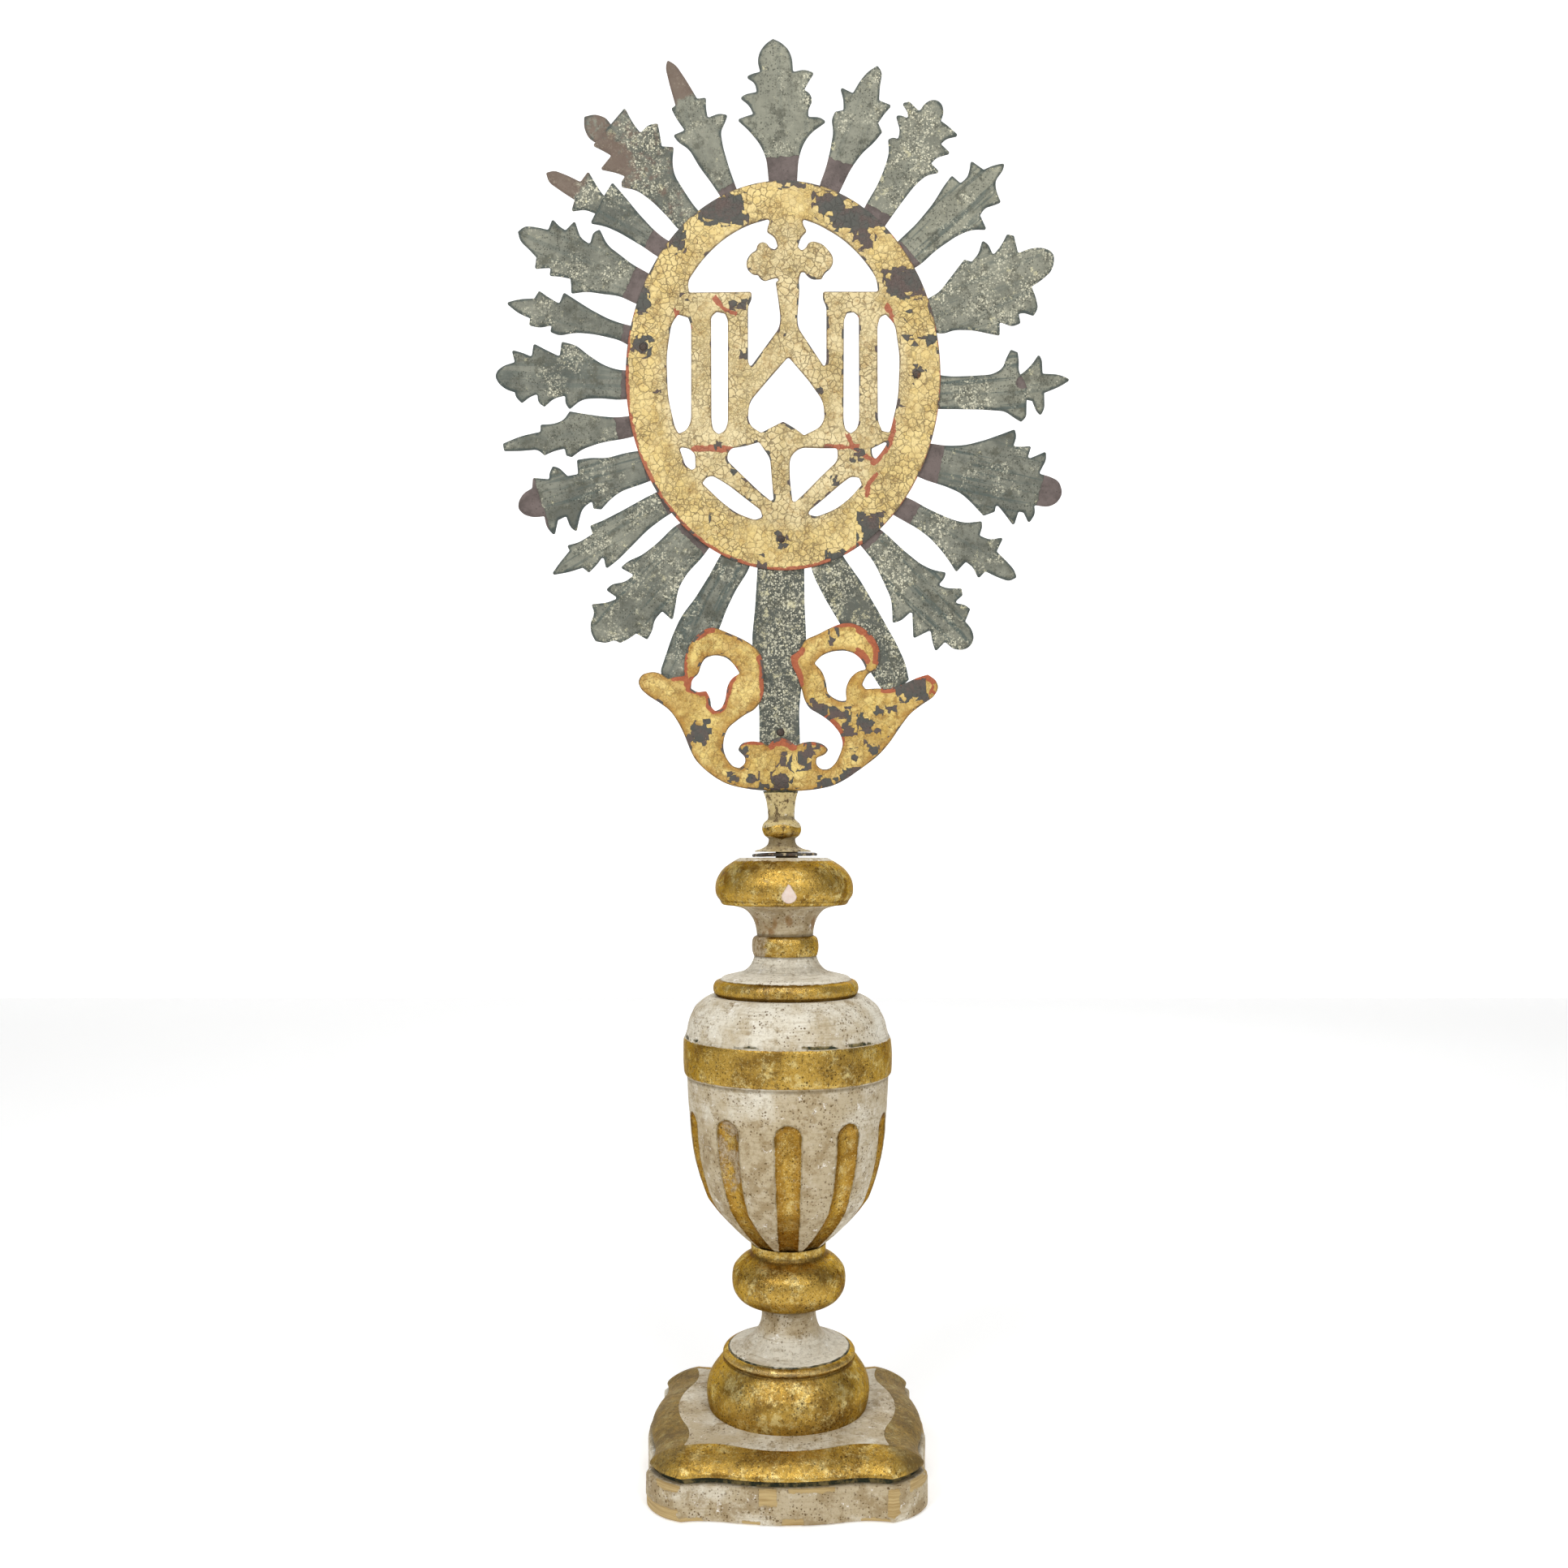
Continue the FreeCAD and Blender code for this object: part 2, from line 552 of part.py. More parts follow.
BRACKET_EDGE = [
    (-17.0, 357.4), (-24.0, 358.6), (-30.5, 360.4), (-36.5, 363.8), (-42.5, 368.4), (-47.4, 373.6),
    (-50.4, 380.0), (-53.0, 387.0), (-56.5, 394.0), (-60.4, 399.6), (-66.0, 403.8), (-72.6, 407.8),
    (-76.6, 411.6), (-77.8, 415.6), (-75.6, 419.2), (-70.0, 420.6), (-65.6, 419.6), (-61.6, 416.6),
    (-57.4, 417.8), (-53.0, 418.0), (-52.9, 427.0), (-51.2, 433.4), (-46.6, 439.8), (-41.0, 443.8),
    (-36.4, 444.2), (-30.0, 441.6), (-23.0, 438.6), (-17.0, 435.4), (-12.2, 430.6), (-10.3, 424.0),
    (-10.6, 417.0), (-10.2, 410.0), (-12.0, 404.4), (-15.4, 400.0), (-20.0, 397.8), (-25.0, 394.2),
    (-29.6, 390.4), (-31.8, 385.0), (-32.2, 379.4), (-30.4, 374.0), (-27.0, 369.8), (-23.4, 368.9),
    (-20.4, 371.2), (-20.2, 374.6), (-24.3, 378.6), (-22.4, 382.2), (-17.0, 383.4), (-11.0, 382.6),
    (-8.2, 380.6), (-5.4, 383.8), (-1.4, 385.2), (3.4, 383.8), (6.6, 380.8), (10.0, 382.4), (15.6, 383.3),
    (21.4, 381.8), (24.4, 378.8), (22.6, 376.2), (18.0, 374.4), (17.6, 371.0), (20.2, 368.2), (24.6, 368.2),
    (28.4, 371.8), (31.0, 377.6), (32.2, 382.0), (30.6, 387.6), (25.6, 393.6), (20.0, 397.6), (14.0, 400.8),
    (11.4, 405.4), (10.0, 411.0), (7.6, 418.4), (4.6, 424.0), (4.0, 428.8), (8.6, 431.6), (12.0, 438.0),
    (18.0, 440.2), (24.4, 443.6), (31.0, 446.4), (37.0, 446.7), (43.0, 444.0), (48.4, 439.4), (51.6, 433.0),
    (52.0, 427.4), (49.4, 421.0), (46.0, 419.8), (44.0, 417.2), (42.4, 413.6), (44.2, 411.2), (50.0, 411.6),
    (58.0, 411.4), (64.4, 413.8), (72.0, 417.4), (77.6, 419.0), (82.0, 416.0), (83.4, 411.8), (80.8, 407.0),
    (74.0, 402.6), (68.0, 398.0), (62.6, 390.6), (57.0, 382.2), (51.0, 375.4), (43.0, 369.4), (34.0, 363.0),
    (27.0, 359.4), (18.0, 357.4), (9.0, 356.6), (-8.0, 356.6),
]
BRACKET_HOLES = [
    [(-45.2, 419.4), (-44.2, 424.0), (-41.8, 428.0), (-36.6, 429.6), (-30.6, 428.4), (-26.4, 424.6),
     (-23.2, 419.6), (-27.6, 417.0), (-30.0, 412.6), (-30.9, 405.6), (-33.0, 400.8), (-36.4, 399.4),
     (-38.6, 401.6), (-39.0, 406.0), (-41.2, 410.2), (-46.0, 409.4), (-49.4, 411.6), (-49.0, 416.4)],
    [(16.8, 425.0), (20.0, 428.8), (25.6, 431.4), (33.0, 432.0), (38.0, 430.6), (42.4, 426.8),
     (44.6, 421.8), (40.0, 420.8), (35.8, 417.2), (33.4, 411.4), (34.0, 405.0), (30.4, 404.8),
     (26.4, 406.8), (23.8, 409.0), (23.0, 415.0), (21.0, 420.8)],
]


def make_scroll_bracket():
    """Pierced sheet of two scrolls that rise from a yoke on top of the stem."""
    body = add_body("scroll_bracket")
    add_pad(body, add_sketch(body, "bracket_edge", rounded(BRACKET_EDGE, 1.4)), "sheet_thickness",
            both_ways=True)
    for number, points in enumerate(BRACKET_HOLES):
        add_pocket(body, add_sketch(body, f"bracket_hole_{number}", rounded(points, 1.0)))
    place_sheet(body, layer=0)


# Rays, clockwise from the top. Each has the angle its axis makes with +X, the place of its root on
# the oval's edge, and its left and right outlines as (along, across) points from the hidden end
# behind the oval out to the tip; across is positive to the left of the way the ray points.
RAYS = {
    "ray_01": (93.9, (0.0, 683.0),
               [(-9, 6.5), (0, 7.6), (14, 8.0), (22, 11.0), (30, 16.8), (35.6, 22.4), (37.2, 17), (38, 13.4),
                (43, 15.4), (47, 20), (48.8, 17), (49.6, 10.8), (54.5, 11.4), (58, 16.2), (59.6, 12),
                (60.2, 8.2), (66, 9.3), (71, 7.8), (75, 4.2)],
               [(-9, -6.5), (2, -7.8), (12, -9), (20, -12), (26, -16.6), (31.4, -25.4), (34, -22), (34.6, -16),
                (38.6, -16.2), (43, -18.8), (47, -17.6), (49, -14.6), (52.6, -17), (57.6, -20.6), (59.8, -15.4),
                (58.8, -9.4), (66, -9.4), (71, -7.8), (75, -4)], (77.2, 0.2)),
    "ray_02": (71.9, (28.3, 678.6),
               [(-9, 7.5), (0, 9.4), (10, 8.9), (20, 9.7), (30, 11.2), (36, 14.2), (40.4, 13.6), (42.6, 9.6),
                (48, 11.4), (53.8, 15.4), (52.6, 7.6), (60, 6), (66, 3.6)],
               [(-9, -1), (2, -2.2), (14, -3.8), (24, -7), (31, -11.2), (38, -13.8), (42, -10.2), (47, -11.6),
                (53, -14.2), (53.4, -7), (60, -5.2), (68, -4)], (70.8, -0.4)),
    "ray_03": (61.8, (50.1, 665.6),
               [(-9, 7), (3, 7.8), (14, 7.2), (25, 8.2), (33, 10), (39, 13.8), (41.4, 12), (41.8, 9.2),
                (46.6, 10.6), (52.4, 16.2), (54, 13.4), (54, 9.6), (57, 11.4), (59.8, 16.4), (62.4, 13.4),
                (60.4, 6.2), (65.6, 5.6), (69, 3.4)],
               [(-9, -6), (0, -7), (12, -8.5), (24, -10.4), (32, -13.4), (36.6, -19.2), (38.6, -12.6),
                (43, -13.8), (48.4, -19.4), (50.4, -12.2), (54.4, -13.6), (58.8, -18.8), (60.8, -11),
                (61.4, -6.4), (66, -5.8), (69.4, -3)], (70.4, 0.2)),
    "ray_04": (42.5, (66.6, 646.0),
               [(-9, 7.5), (2, 7.6), (14, 7.8), (28, 9.8), (38, 12.8), (45.6, 14.2), (46.2, 8), (51, 7.8),
                (55, 10.2), (58.6, 13.4), (60.4, 5), (66, 3.2)],
               [(-9, -7), (0, -9.8), (12, -9.6), (26, -11.6), (34, -14.4), (39.8, -20), (42.4, -11.8),
                (47, -10.6), (52, -13), (55.4, -14.2), (57.6, -8), (61, -3.6), (68, -2.2)], (71.2, 0)),
    "ray_05": (21.8, (79.7, 616.4),
               [(-9, 4.5), (0, 5), (7, 6), (14, 10.2), (21, 14.4), (25.8, 17.2), (29, 14.6), (34, 17.2),
                (38.6, 23.2), (40.8, 20), (41, 13.6), (47, 16.8), (52, 21.2), (55.2, 19), (53.8, 9.4),
                (60, 9.6), (66, 8), (70, 4.8)],
               [(-9, -9), (0, -15.6), (7, -15.8), (16, -19.6), (22, -23.6), (28.4, -27.8), (31, -20.8),
                (36.4, -25.8), (41.2, -25.8), (42, -20.6), (45, -21.4), (49, -24.8), (52.8, -22), (53.8, -16),
                (53.8, -9.8), (60.4, -8.6), (66.6, -6.2), (69.6, -2.8)], (71.2, 1.4)),
    "ray_06": (5.7, (84.9, 571.1),
               [(-15, 13), (-4, 10), (5, 7.6), (16, 6.8), (28, 6.4), (34, 9), (36.6, 14.6), (39.4, 18.8),
                (43, 17), (43.2, 12), (42.4, 6.8)],
               [(-15, -6), (-4, -9), (6, -10), (20, -11.6), (33, -13.8), (37.4, -17.6), (41.2, -20.4),
                (44.2, -18), (45, -10.6)], (46.4, -2)),
    "ray_07": (-12.3, (79.7, 532.8),
               [(-12, 8), (-4, 10), (6, 10.6), (16, 13.2), (26, 18.4), (34, 23.4), (39.8, 27.2), (41.6, 23.4),
                (41, 18), (45, 18.6), (50.4, 20.2), (49.8, 12.8), (54, 15.6), (58.6, 19), (59.8, 14.6),
                (57.6, 6.6), (64, 6.2), (69, 4.8)],
               [(-12, -7), (-2, -9.6), (10, -10.6), (19, -12.4), (26, -16.6), (33.4, -21.8), (38.8, -18.4),
                (38.6, -14), (43, -17.4), (50.4, -23.8), (51.2, -15.6), (54, -15.6), (58, -20.8),
                (60.2, -15), (58.6, -10.4), (66, -10), (70.6, -6.6)], (72.2, -1)),
    "ray_08": (-28.0, (60.9, 505.8),
               [(-10, 8), (2, 10.4), (14, 10), (27, 10.8), (35, 12.6), (42.4, 17.8), (44.2, 15), (45, 10.4),
                (51, 11), (56.8, 15.8), (57.2, 7.2), (64, 5.2), (70, 3)],
               [(-10, -1), (0, -1.6), (14, -1.9), (22, -3.2), (31, -6.4), (38, -9.8), (43.2, -12.8),
                (45.2, -5.4), (50, -6.2), (55.4, -10.2), (56.8, -5), (64, -4.8), (70.6, -3.8)], (73.2, 0)),
    "ray_09": (-45.7, (47.9, 489.3),
               [(-11, 7), (0, 9), (14, 9.6), (26, 11), (33, 13.6), (38.6, 17.6), (40.4, 14.6), (40.6, 10),
                (45, 12), (50.6, 17.6), (53.6, 15.4), (53.4, 9.4), (58, 12.6), (61.8, 13.2), (64.6, 6.6),
                (70, 6.2), (74.4, 3.8)],
               [(-11, -4.6), (0, -5.3), (8, -6.2), (18, -9.6), (28, -13.2), (33.6, -17.8), (38, -22),
                (40.4, -17.6), (40.6, -9.6), (46, -14.6), (51.8, -19.8), (55, -10), (60, -13.6),
                (65.2, -16.2), (65, -8.8), (71, -8.4), (75, -4.8)], (76.2, -0.6)),
    "ray_10": (-63.4, (28.3, 480.6),
               [(-7, 4), (2, 4.7), (16, 6.9), (34, 8.1), (54, 9), (66, 8.7), (75, 6.4)],
               [(-7, -12.5), (2, -14.5), (16, -14.4), (32, -13.2), (46, -11.8), (64, -10), (74, -9)], (78, -4)),
    "ray_11": (-116.6, (-26.1, 480.6),
               [(-7, 8), (2, 9.2), (14, 7.8), (26, 8), (40, 9.6), (56, 7.4), (70, 5.6)],
               [(-7, -7), (2, -8), (14, -8.5), (28, -9.8), (40, -12.2), (52, -11.6), (62, -10.2),
                (72, -8.8)], (76, -3)),
    "ray_12": (-133.7, (-50.9, 489.3),
               [(-10, 9), (0, 10.4), (12, 10.4), (21, 12.6), (28, 17.4), (35.6, 22.4), (35.8, 14.8),
                (42, 15), (47, 18.2), (52.4, 19.6), (54, 13), (59, 12), (63.8, 10.2), (64.8, 6.8),
                (69, 4.8)],
               [(-10, -9), (-2, -12), (12, -12.3), (22, -14), (28.6, -17), (34.4, -17.6), (32.2, -9.6),
                (38, -10.4), (44, -14.8), (48.4, -15), (47.2, -7.2), (53, -9.8), (59.4, -15.4), (61.6, -10.8),
                (67.4, -8.6), (70.8, -4.6)], (72.2, 0)),
    "ray_13": (-149.3, (-65.3, 507.6),
               [(-9, 4), (2, 4.3), (12, 5.4), (24, 8.6), (34, 11.2), (41.8, 12.2), (39.4, 5.2), (44.6, 7.6),
                (50.8, 9.2), (52.2, 5.2), (60, 3.4)],
               [(-9, -9), (4, -10), (18, -10.4), (30, -11.1), (37.4, -12.2), (38.4, -7.7), (47, -7.4),
                (53.4, -9.4), (53.6, -6.2), (62, -3.2)], (69, 0)),
    "ray_14": (-163.3, (-76.2, 528.5),
               [(-10, 6), (2, 6.8), (13, 7.2), (20, 9.6), (26.4, 13.6), (30.4, 12), (29.8, 7.8), (36, 10),
                (39.6, 15.6), (42.6, 21.4), (45.2, 18), (45.6, 11.6), (50.4, 12.4), (54.6, 20), (57.4, 14.6),
                (56.8, 8.2), (62.4, 7.2), (67, 4.4)],
               [(-10, -9), (3, -11.6), (16, -11.9), (24, -14.6), (31.4, -15.6), (33, -8.2), (38.6, -8.8),
                (41.6, -14.2), (44.8, -16.2), (47.6, -13), (48.6, -10), (56.8, -13.2), (58.8, -8),
                (64, -6.8), (67.8, -3.4)], (69.2, 0.4)),
    "ray_15": (-169.3, (-84.9, 553.7),
               [(-9, 7), (2, 7.7), (14, 7.3), (25, 9), (31.4, 12.2), (34.2, 10.8), (34.2, 7), (40, 7.2),
                (45.6, 8.6), (48.6, 4.8), (58, 3.8), (66.4, 2.4)],
               [(-9, -3.4), (4, -4.2), (13, -6.8), (21, -9.6), (28, -12.2), (32, -8), (38, -7), (44.6, -8),
                (45.4, -4.2), (56, -4)], (66.4, -1.6)),
    "ray_16": (178.2, (-85.8, 576.3),
               [(-9, 8), (2, 9.8), (12, 9), (22, 9.8), (28.4, 15.6), (30.8, 12.6), (31, 8.2), (37, 9.8),
                (42, 14.6), (45.4, 12.4), (46, 7.8), (50, 9.4), (54.2, 13), (57.4, 10), (58.2, 7.2),
                (63, 5.8), (67, 2.8)],
               [(-9, -6), (4, -6.4), (12, -9.2), (20, -14.4), (26, -19), (33.8, -20.6), (34.6, -12.6),
                (41, -15.4), (48.8, -19.2), (49.6, -12), (54.6, -14), (60.6, -15.4), (58.6, -8.8),
                (64.6, -6.8), (68, -4)], (69, -0.8)),
    "ray_17": (168.6, (-82.7, 604.6),
               [(-13.5, 13), (-4, 9.4), (4, 6.6), (18, 6.2), (28, 7.4), (36, 10.8), (41.2, 9.8), (41, 6),
                (47, 8.8), (53, 8.6), (53.2, 4.8), (60, 3.4)],
               [(-13.5, -2), (3, -2), (12, -3.2), (22, -6.2), (31, -9.6), (38.2, -12.4), (39.4, -6),
                (45, -7.8), (51.4, -10.6), (53, -6), (61, -4)], (67.6, -0.6)),
    "ray_18": (155.7, (-74.0, 626.4),
               [(-9, 9), (3, 9.4), (11, 9.2), (20, 12), (28, 14.2), (35.2, 18.8), (37.2, 14.4), (39, 11.6),
                (44.6, 12.8), (49.8, 14.8), (51, 10.6), (54.6, 12.4), (58.6, 14.6), (60.4, 8.6), (66, 6.2),
                (72, 4.2)],
               [(-9, -6.6), (2, -8.2), (12, -9), (20, -11), (28, -12.8), (35.4, -19), (38, -16), (37, -9.6),
                (43, -10.6), (49.6, -17.8), (52, -11), (56, -11.6), (61, -13.8), (60.6, -7.4), (67, -6.2),
                (73, -4.2)], (75.2, 0.2)),
    "ray_19": (150.7, (-58.8, 650.3),
               [(-8, 9), (3, 10.2), (14, 9.1), (28, 8.8), (37, 9.6), (44.4, 12.2)],
               [(-8, -1), (5, 0), (13, -1.4), (24, -5), (36, -9.6), (44.8, -12.8)], (45.2, -4.6)),
    "ray_20": (138.4, (-47.9, 665.6),
               [(-9, 9), (1, 11.2), (10, 9.8), (22, 9), (32, 10), (39.2, 14.2), (41.2, 12.4), (41.6, 8.6),
                (47, 10.6), (54.2, 14.8), (54.6, 5.2), (60, 6.2), (65.8, 7.8)],
               [(-9, -3), (3, -3.8), (12, -6.2), (22, -9.2), (27.6, -13.6), (32.6, -20.4), (37.6, -16.4),
                (42, -20), (47.4, -24.2), (50.6, -20.6), (51, -14.2), (58, -15.6), (66.4, -18.8)], (66.2, -8)),
    "ray_21": (116.4, (-26.1, 676.5),
               [(-9, 6.6), (3, 7), (12, 8.2), (22, 10.1), (33, 10.8), (39, 14.4), (43.4, 15.2), (43, 8.4),
                (50, 9.6), (56.6, 9.8), (57, 7), (68, 5), (77, 3)],
               [(-9, -2), (3, -2.6), (14, -3.9), (26, -6), (34, -8.6), (37.4, -13), (40.2, -15.8),
                (43, -12), (43.6, -5.6), (49, -7.2), (53.6, -9.6), (55.2, -5), (66, -4.2), (76, -2.8)],
               (80.6, 0.2)),
}

# Ends of three rays that are separate pieces lapped behind them: the outline of each, given as the
# rays are, in the frame of the ray that it continues.
RAY_ENDS = {
    "ray_06_end": ("ray_06",
                   [(39, 3), (46, 6.6), (51, 11), (54.4, 15.4), (55.8, 12), (55.4, 4.6), (64, 3.4)],
                   [(39, -6), (45.6, -8.6), (48.4, -9.4), (50, -15), (52.2, -17.8), (54.6, -14), (55.2, -5.8),
                    (64, -3.2)], (70.2, 0)),
    "ray_19_end": ("ray_19",
                   [(39, 5), (45.8, 6), (51, 6.8), (56.8, 11.4), (58.2, 5), (66, 4.5), (75, 3.6)],
                   [(39, -4), (46, -4.6), (52, -7.6), (59.4, -12), (60.2, -4.9), (68, -4.5), (75.4, -3.4)],
                   (78.8, 0)),
    "ray_20_end": ("ray_20",
                   [(60, 3), (66.4, 5.4), (71, 5.8), (76, 3.6)],
                   [(60, -5), (66.6, -7.6), (71, -8.4), (76.6, -6)], (80, -1)),
}


def leaf(label, angle, root, left, right, tip, layer):
    """One ray: its outline is drawn along its own axis and turned to its place behind the oval."""
    body = add_body(label)
    outline = right + [tip] + left[::-1]
    holes = [circle(*along_ray(x, z, angle, root), SIZE["rivet_radius"])
             for x, z, _, joins in RIVETS if label in joins and layer == 1]
    add_pad(body, add_sketch(body, label + "_outline", rounded(outline, 0.9) + holes), "ray_thickness",
            backwards=True)
    back = SIZE["sheet_thickness"] / 2 + SIZE["ray_thickness"] * (layer - 1)
    place = Vector(root[0] + SIZE["sunburst_offset"], back, root[1])
    body.Placement = FreeCAD.Placement(place, FreeCAD.Rotation(Vector(0, -1, 0), angle))


def along_ray(x, z, angle, root):
    """Turn a point of the sunburst into (along, across) of the ray with that angle and root."""
    turn = math.radians(angle)
    across, up = x - root[0], z - root[1]
    return (across * math.cos(turn) + up * math.sin(turn), up * math.cos(turn) - across * math.sin(turn))


def make_rays():
    for label, (angle, root, left, right, tip) in RAYS.items():
        leaf(label, angle, root, left, right, tip, layer=1)
    for label, (ray, left, right, tip) in RAY_ENDS.items():
        angle, root = RAYS[ray][:2]
        leaf(label, angle, root, left, right, tip, layer=2)


def make_post():
    """Flat post from behind the oval down to the yoke of the scrolls."""
    body = add_body("post")
    outline = [(-12.6, 498.0), (-13.8, 476.0), (-15.0, 456.0), (-17.0, 436.0), (-14.6, 420.0), (-12.8, 400.0),
               (-12.8, 380.0), (-9.0, 362.0), (6.0, 362.0), (9.2, 380.0), (8.6, 400.0), (10.6, 420.0),
               (12.6, 436.0), (11.6, 456.0), (11.4, 476.0), (10.6, 498.0)]
    holes = [circle(x, z, SIZE["rivet_radius"]) for x, z, _, joins in RIVETS if "strut" in joins]
    add_pad(body, add_sketch(body, "post_outline", rounded(outline, 2.0) + holes), "ray_thickness",
            backwards=True)
    place_sheet(body, layer=1)


def make_strut():
    """Flat iron bar behind the post; its lower end narrows to the tang in the stem."""
    body = add_body("back_strut")
    foot, shoulder, top = SIZE["strut_foot"], SIZE["strut_shoulder"], SIZE["strut_top"]
    outline = [(SIZE["tang_left"], foot), (SIZE["tang_right"], foot), (SIZE["tang_right"], shoulder),
               (SIZE["strut_right"], shoulder + 4), (SIZE["strut_right"], top), (SIZE["strut_left"], top),
               (SIZE["strut_left"], shoulder + 4), (SIZE["tang_left"], shoulder)]
    outline = [(x - SIZE["sunburst_offset"], z) for x, z in outline]
    holes = [circle(x, z, SIZE["rivet_radius"]) for x, z, _, joins in RIVETS if "strut" in joins]
    add_pad(body, add_sketch(body, "strut_outline", rounded(outline, 1.0) + holes), "strut_depth",
            backwards=True)
    place_sheet(body, layer=2)


# Rivets as x, height, front face and what they join.
RIVETS = [
    (-74.9, 594.6, -0.6, "ring, ray_17"),
    (71.8, 579.8, -0.6, "ring, ray_06"),
    (-0.9, 491.5, -0.6, "ring, post and strut"),
    (-1.3, 388.0, 0.6, "post and strut"),
]


def make_rivets():
    """Round-headed rivets, each as long as the sheets that it joins are thick."""
    radius, head = SIZE["rivet_radius"], SIZE["rivet_head_radius"]
    height = SIZE["rivet_head_height"]
    solids = []
    for x, z, front, joins in RIVETS:
        back = SIZE["sheet_thickness"] / 2 + SIZE["ray_thickness"]
        if "strut" in joins:
            back += SIZE["strut_depth"]
        outline = [(0, front - height), (0.5 * head, front - height), (head, front - 0.4 * height),
                   (head, front), (radius, front), (radius, back), (head, back),
                   (head, back + 0.4 * height), (0.5 * head, back + height), (0, back + height)]
        edges = [g.toShape() for g in polyline_with_arcs(outline)]
        face = Part.Face(Part.Wire(edges))
        rivet = face.revolve(Vector(0, 0, 0), Vector(0, 1, 0), 360)
        rivet.translate(Vector(x + SIZE["sunburst_offset"], 0, z))
        solids.append(rivet)
    rivets = doc.addObject("Part::Feature", "rivets")
    rivets.Label = "rivets"
    rivets.Shape = Part.Compound(solids)


# ---------------------------------------------------------------- assembly and export

HELPERS = {"urn_blank", "flute_gouges"}


def sub_parts():
    kinds = ("PartDesign::Body", "Part::Cut", "Part::Feature")
    return [o for o in doc.Objects if o.TypeId in kinds and o.Label not in HELPERS]


def check(objects):
    """Stop with a message if any object failed, or a sub-part's shape is empty or invalid."""
    for item in doc.Objects:
        if "Invalid" in item.State or "Error" in item.State:
            raise RuntimeError(f"{item.Label} failed: {item.State}")
    bad = [item.Label for item in objects
           if item.Shape.isNull() or not item.Shape.isValid() or not item.Shape.Solids]
    if bad:
        raise RuntimeError("no valid solid in " + ", ".join(bad))


def main():
    doc.recompute()
    make_plinth_slab()
    make_plinth_moulding()
    make_plinth_nails()
    make_turned_sections()
    make_urn_bowl()
    make_collar()
    make_stem()
    make_ring_plate()
    make_scroll_bracket()
    make_rays()
    make_post()
    make_strut()
    make_rivets()
    doc.recompute()
    parts = sub_parts()
    check(parts)
    os.makedirs("parts", exist_ok=True)
    for part in parts:
        part.Shape.exportStep(f"parts/{part.Label}.step")
        box = part.Shape.BoundBox
        print(f"{part.Label}: {len(part.Shape.Solids)} solid(s), {part.Shape.Volume:.0f} mm3,"
              f" x {box.XMin:.1f}..{box.XMax:.1f} y {box.YMin:.1f}..{box.YMax:.1f}"
              f" z {box.ZMin:.1f}..{box.ZMax:.1f}")


main()
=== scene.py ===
"""Looks of the monstrance: turned gilt and cream wood below, painted sheet metal above."""

import json
import math
import random

import bpy
import numpy as np
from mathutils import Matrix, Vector, noise
from mathutils.geometry import delaunay_2d_cdt


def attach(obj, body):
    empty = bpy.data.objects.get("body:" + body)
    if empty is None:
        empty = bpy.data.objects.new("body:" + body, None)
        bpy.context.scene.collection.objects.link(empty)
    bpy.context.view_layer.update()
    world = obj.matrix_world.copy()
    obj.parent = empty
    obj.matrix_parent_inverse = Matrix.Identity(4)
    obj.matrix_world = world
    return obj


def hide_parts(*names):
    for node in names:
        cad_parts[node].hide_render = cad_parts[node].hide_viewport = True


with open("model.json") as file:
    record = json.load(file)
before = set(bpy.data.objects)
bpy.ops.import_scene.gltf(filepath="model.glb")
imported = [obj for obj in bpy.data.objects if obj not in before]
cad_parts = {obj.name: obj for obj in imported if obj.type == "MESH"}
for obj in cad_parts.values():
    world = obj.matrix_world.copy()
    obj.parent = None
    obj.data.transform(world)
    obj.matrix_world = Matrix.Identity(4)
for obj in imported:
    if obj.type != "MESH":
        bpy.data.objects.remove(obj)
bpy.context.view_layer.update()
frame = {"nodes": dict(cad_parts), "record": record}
MM = 0.001
BEHAVIOUR = frame["record"]["behaviour"]
BODY_OF = {node: body for body, nodes in BEHAVIOUR["bodies"].items() for node in nodes}


# ---------------------------------------------------------------- node materials
def srgb(red, green, blue):
    """Linear colour of an 8-bit one."""
    linear = []
    for value in (red, green, blue):
        value /= 255
        linear.append(value / 12.92 if value <= 0.04045 else ((value + 0.055) / 1.055) ** 2.4)
    return (*linear, 1.0)


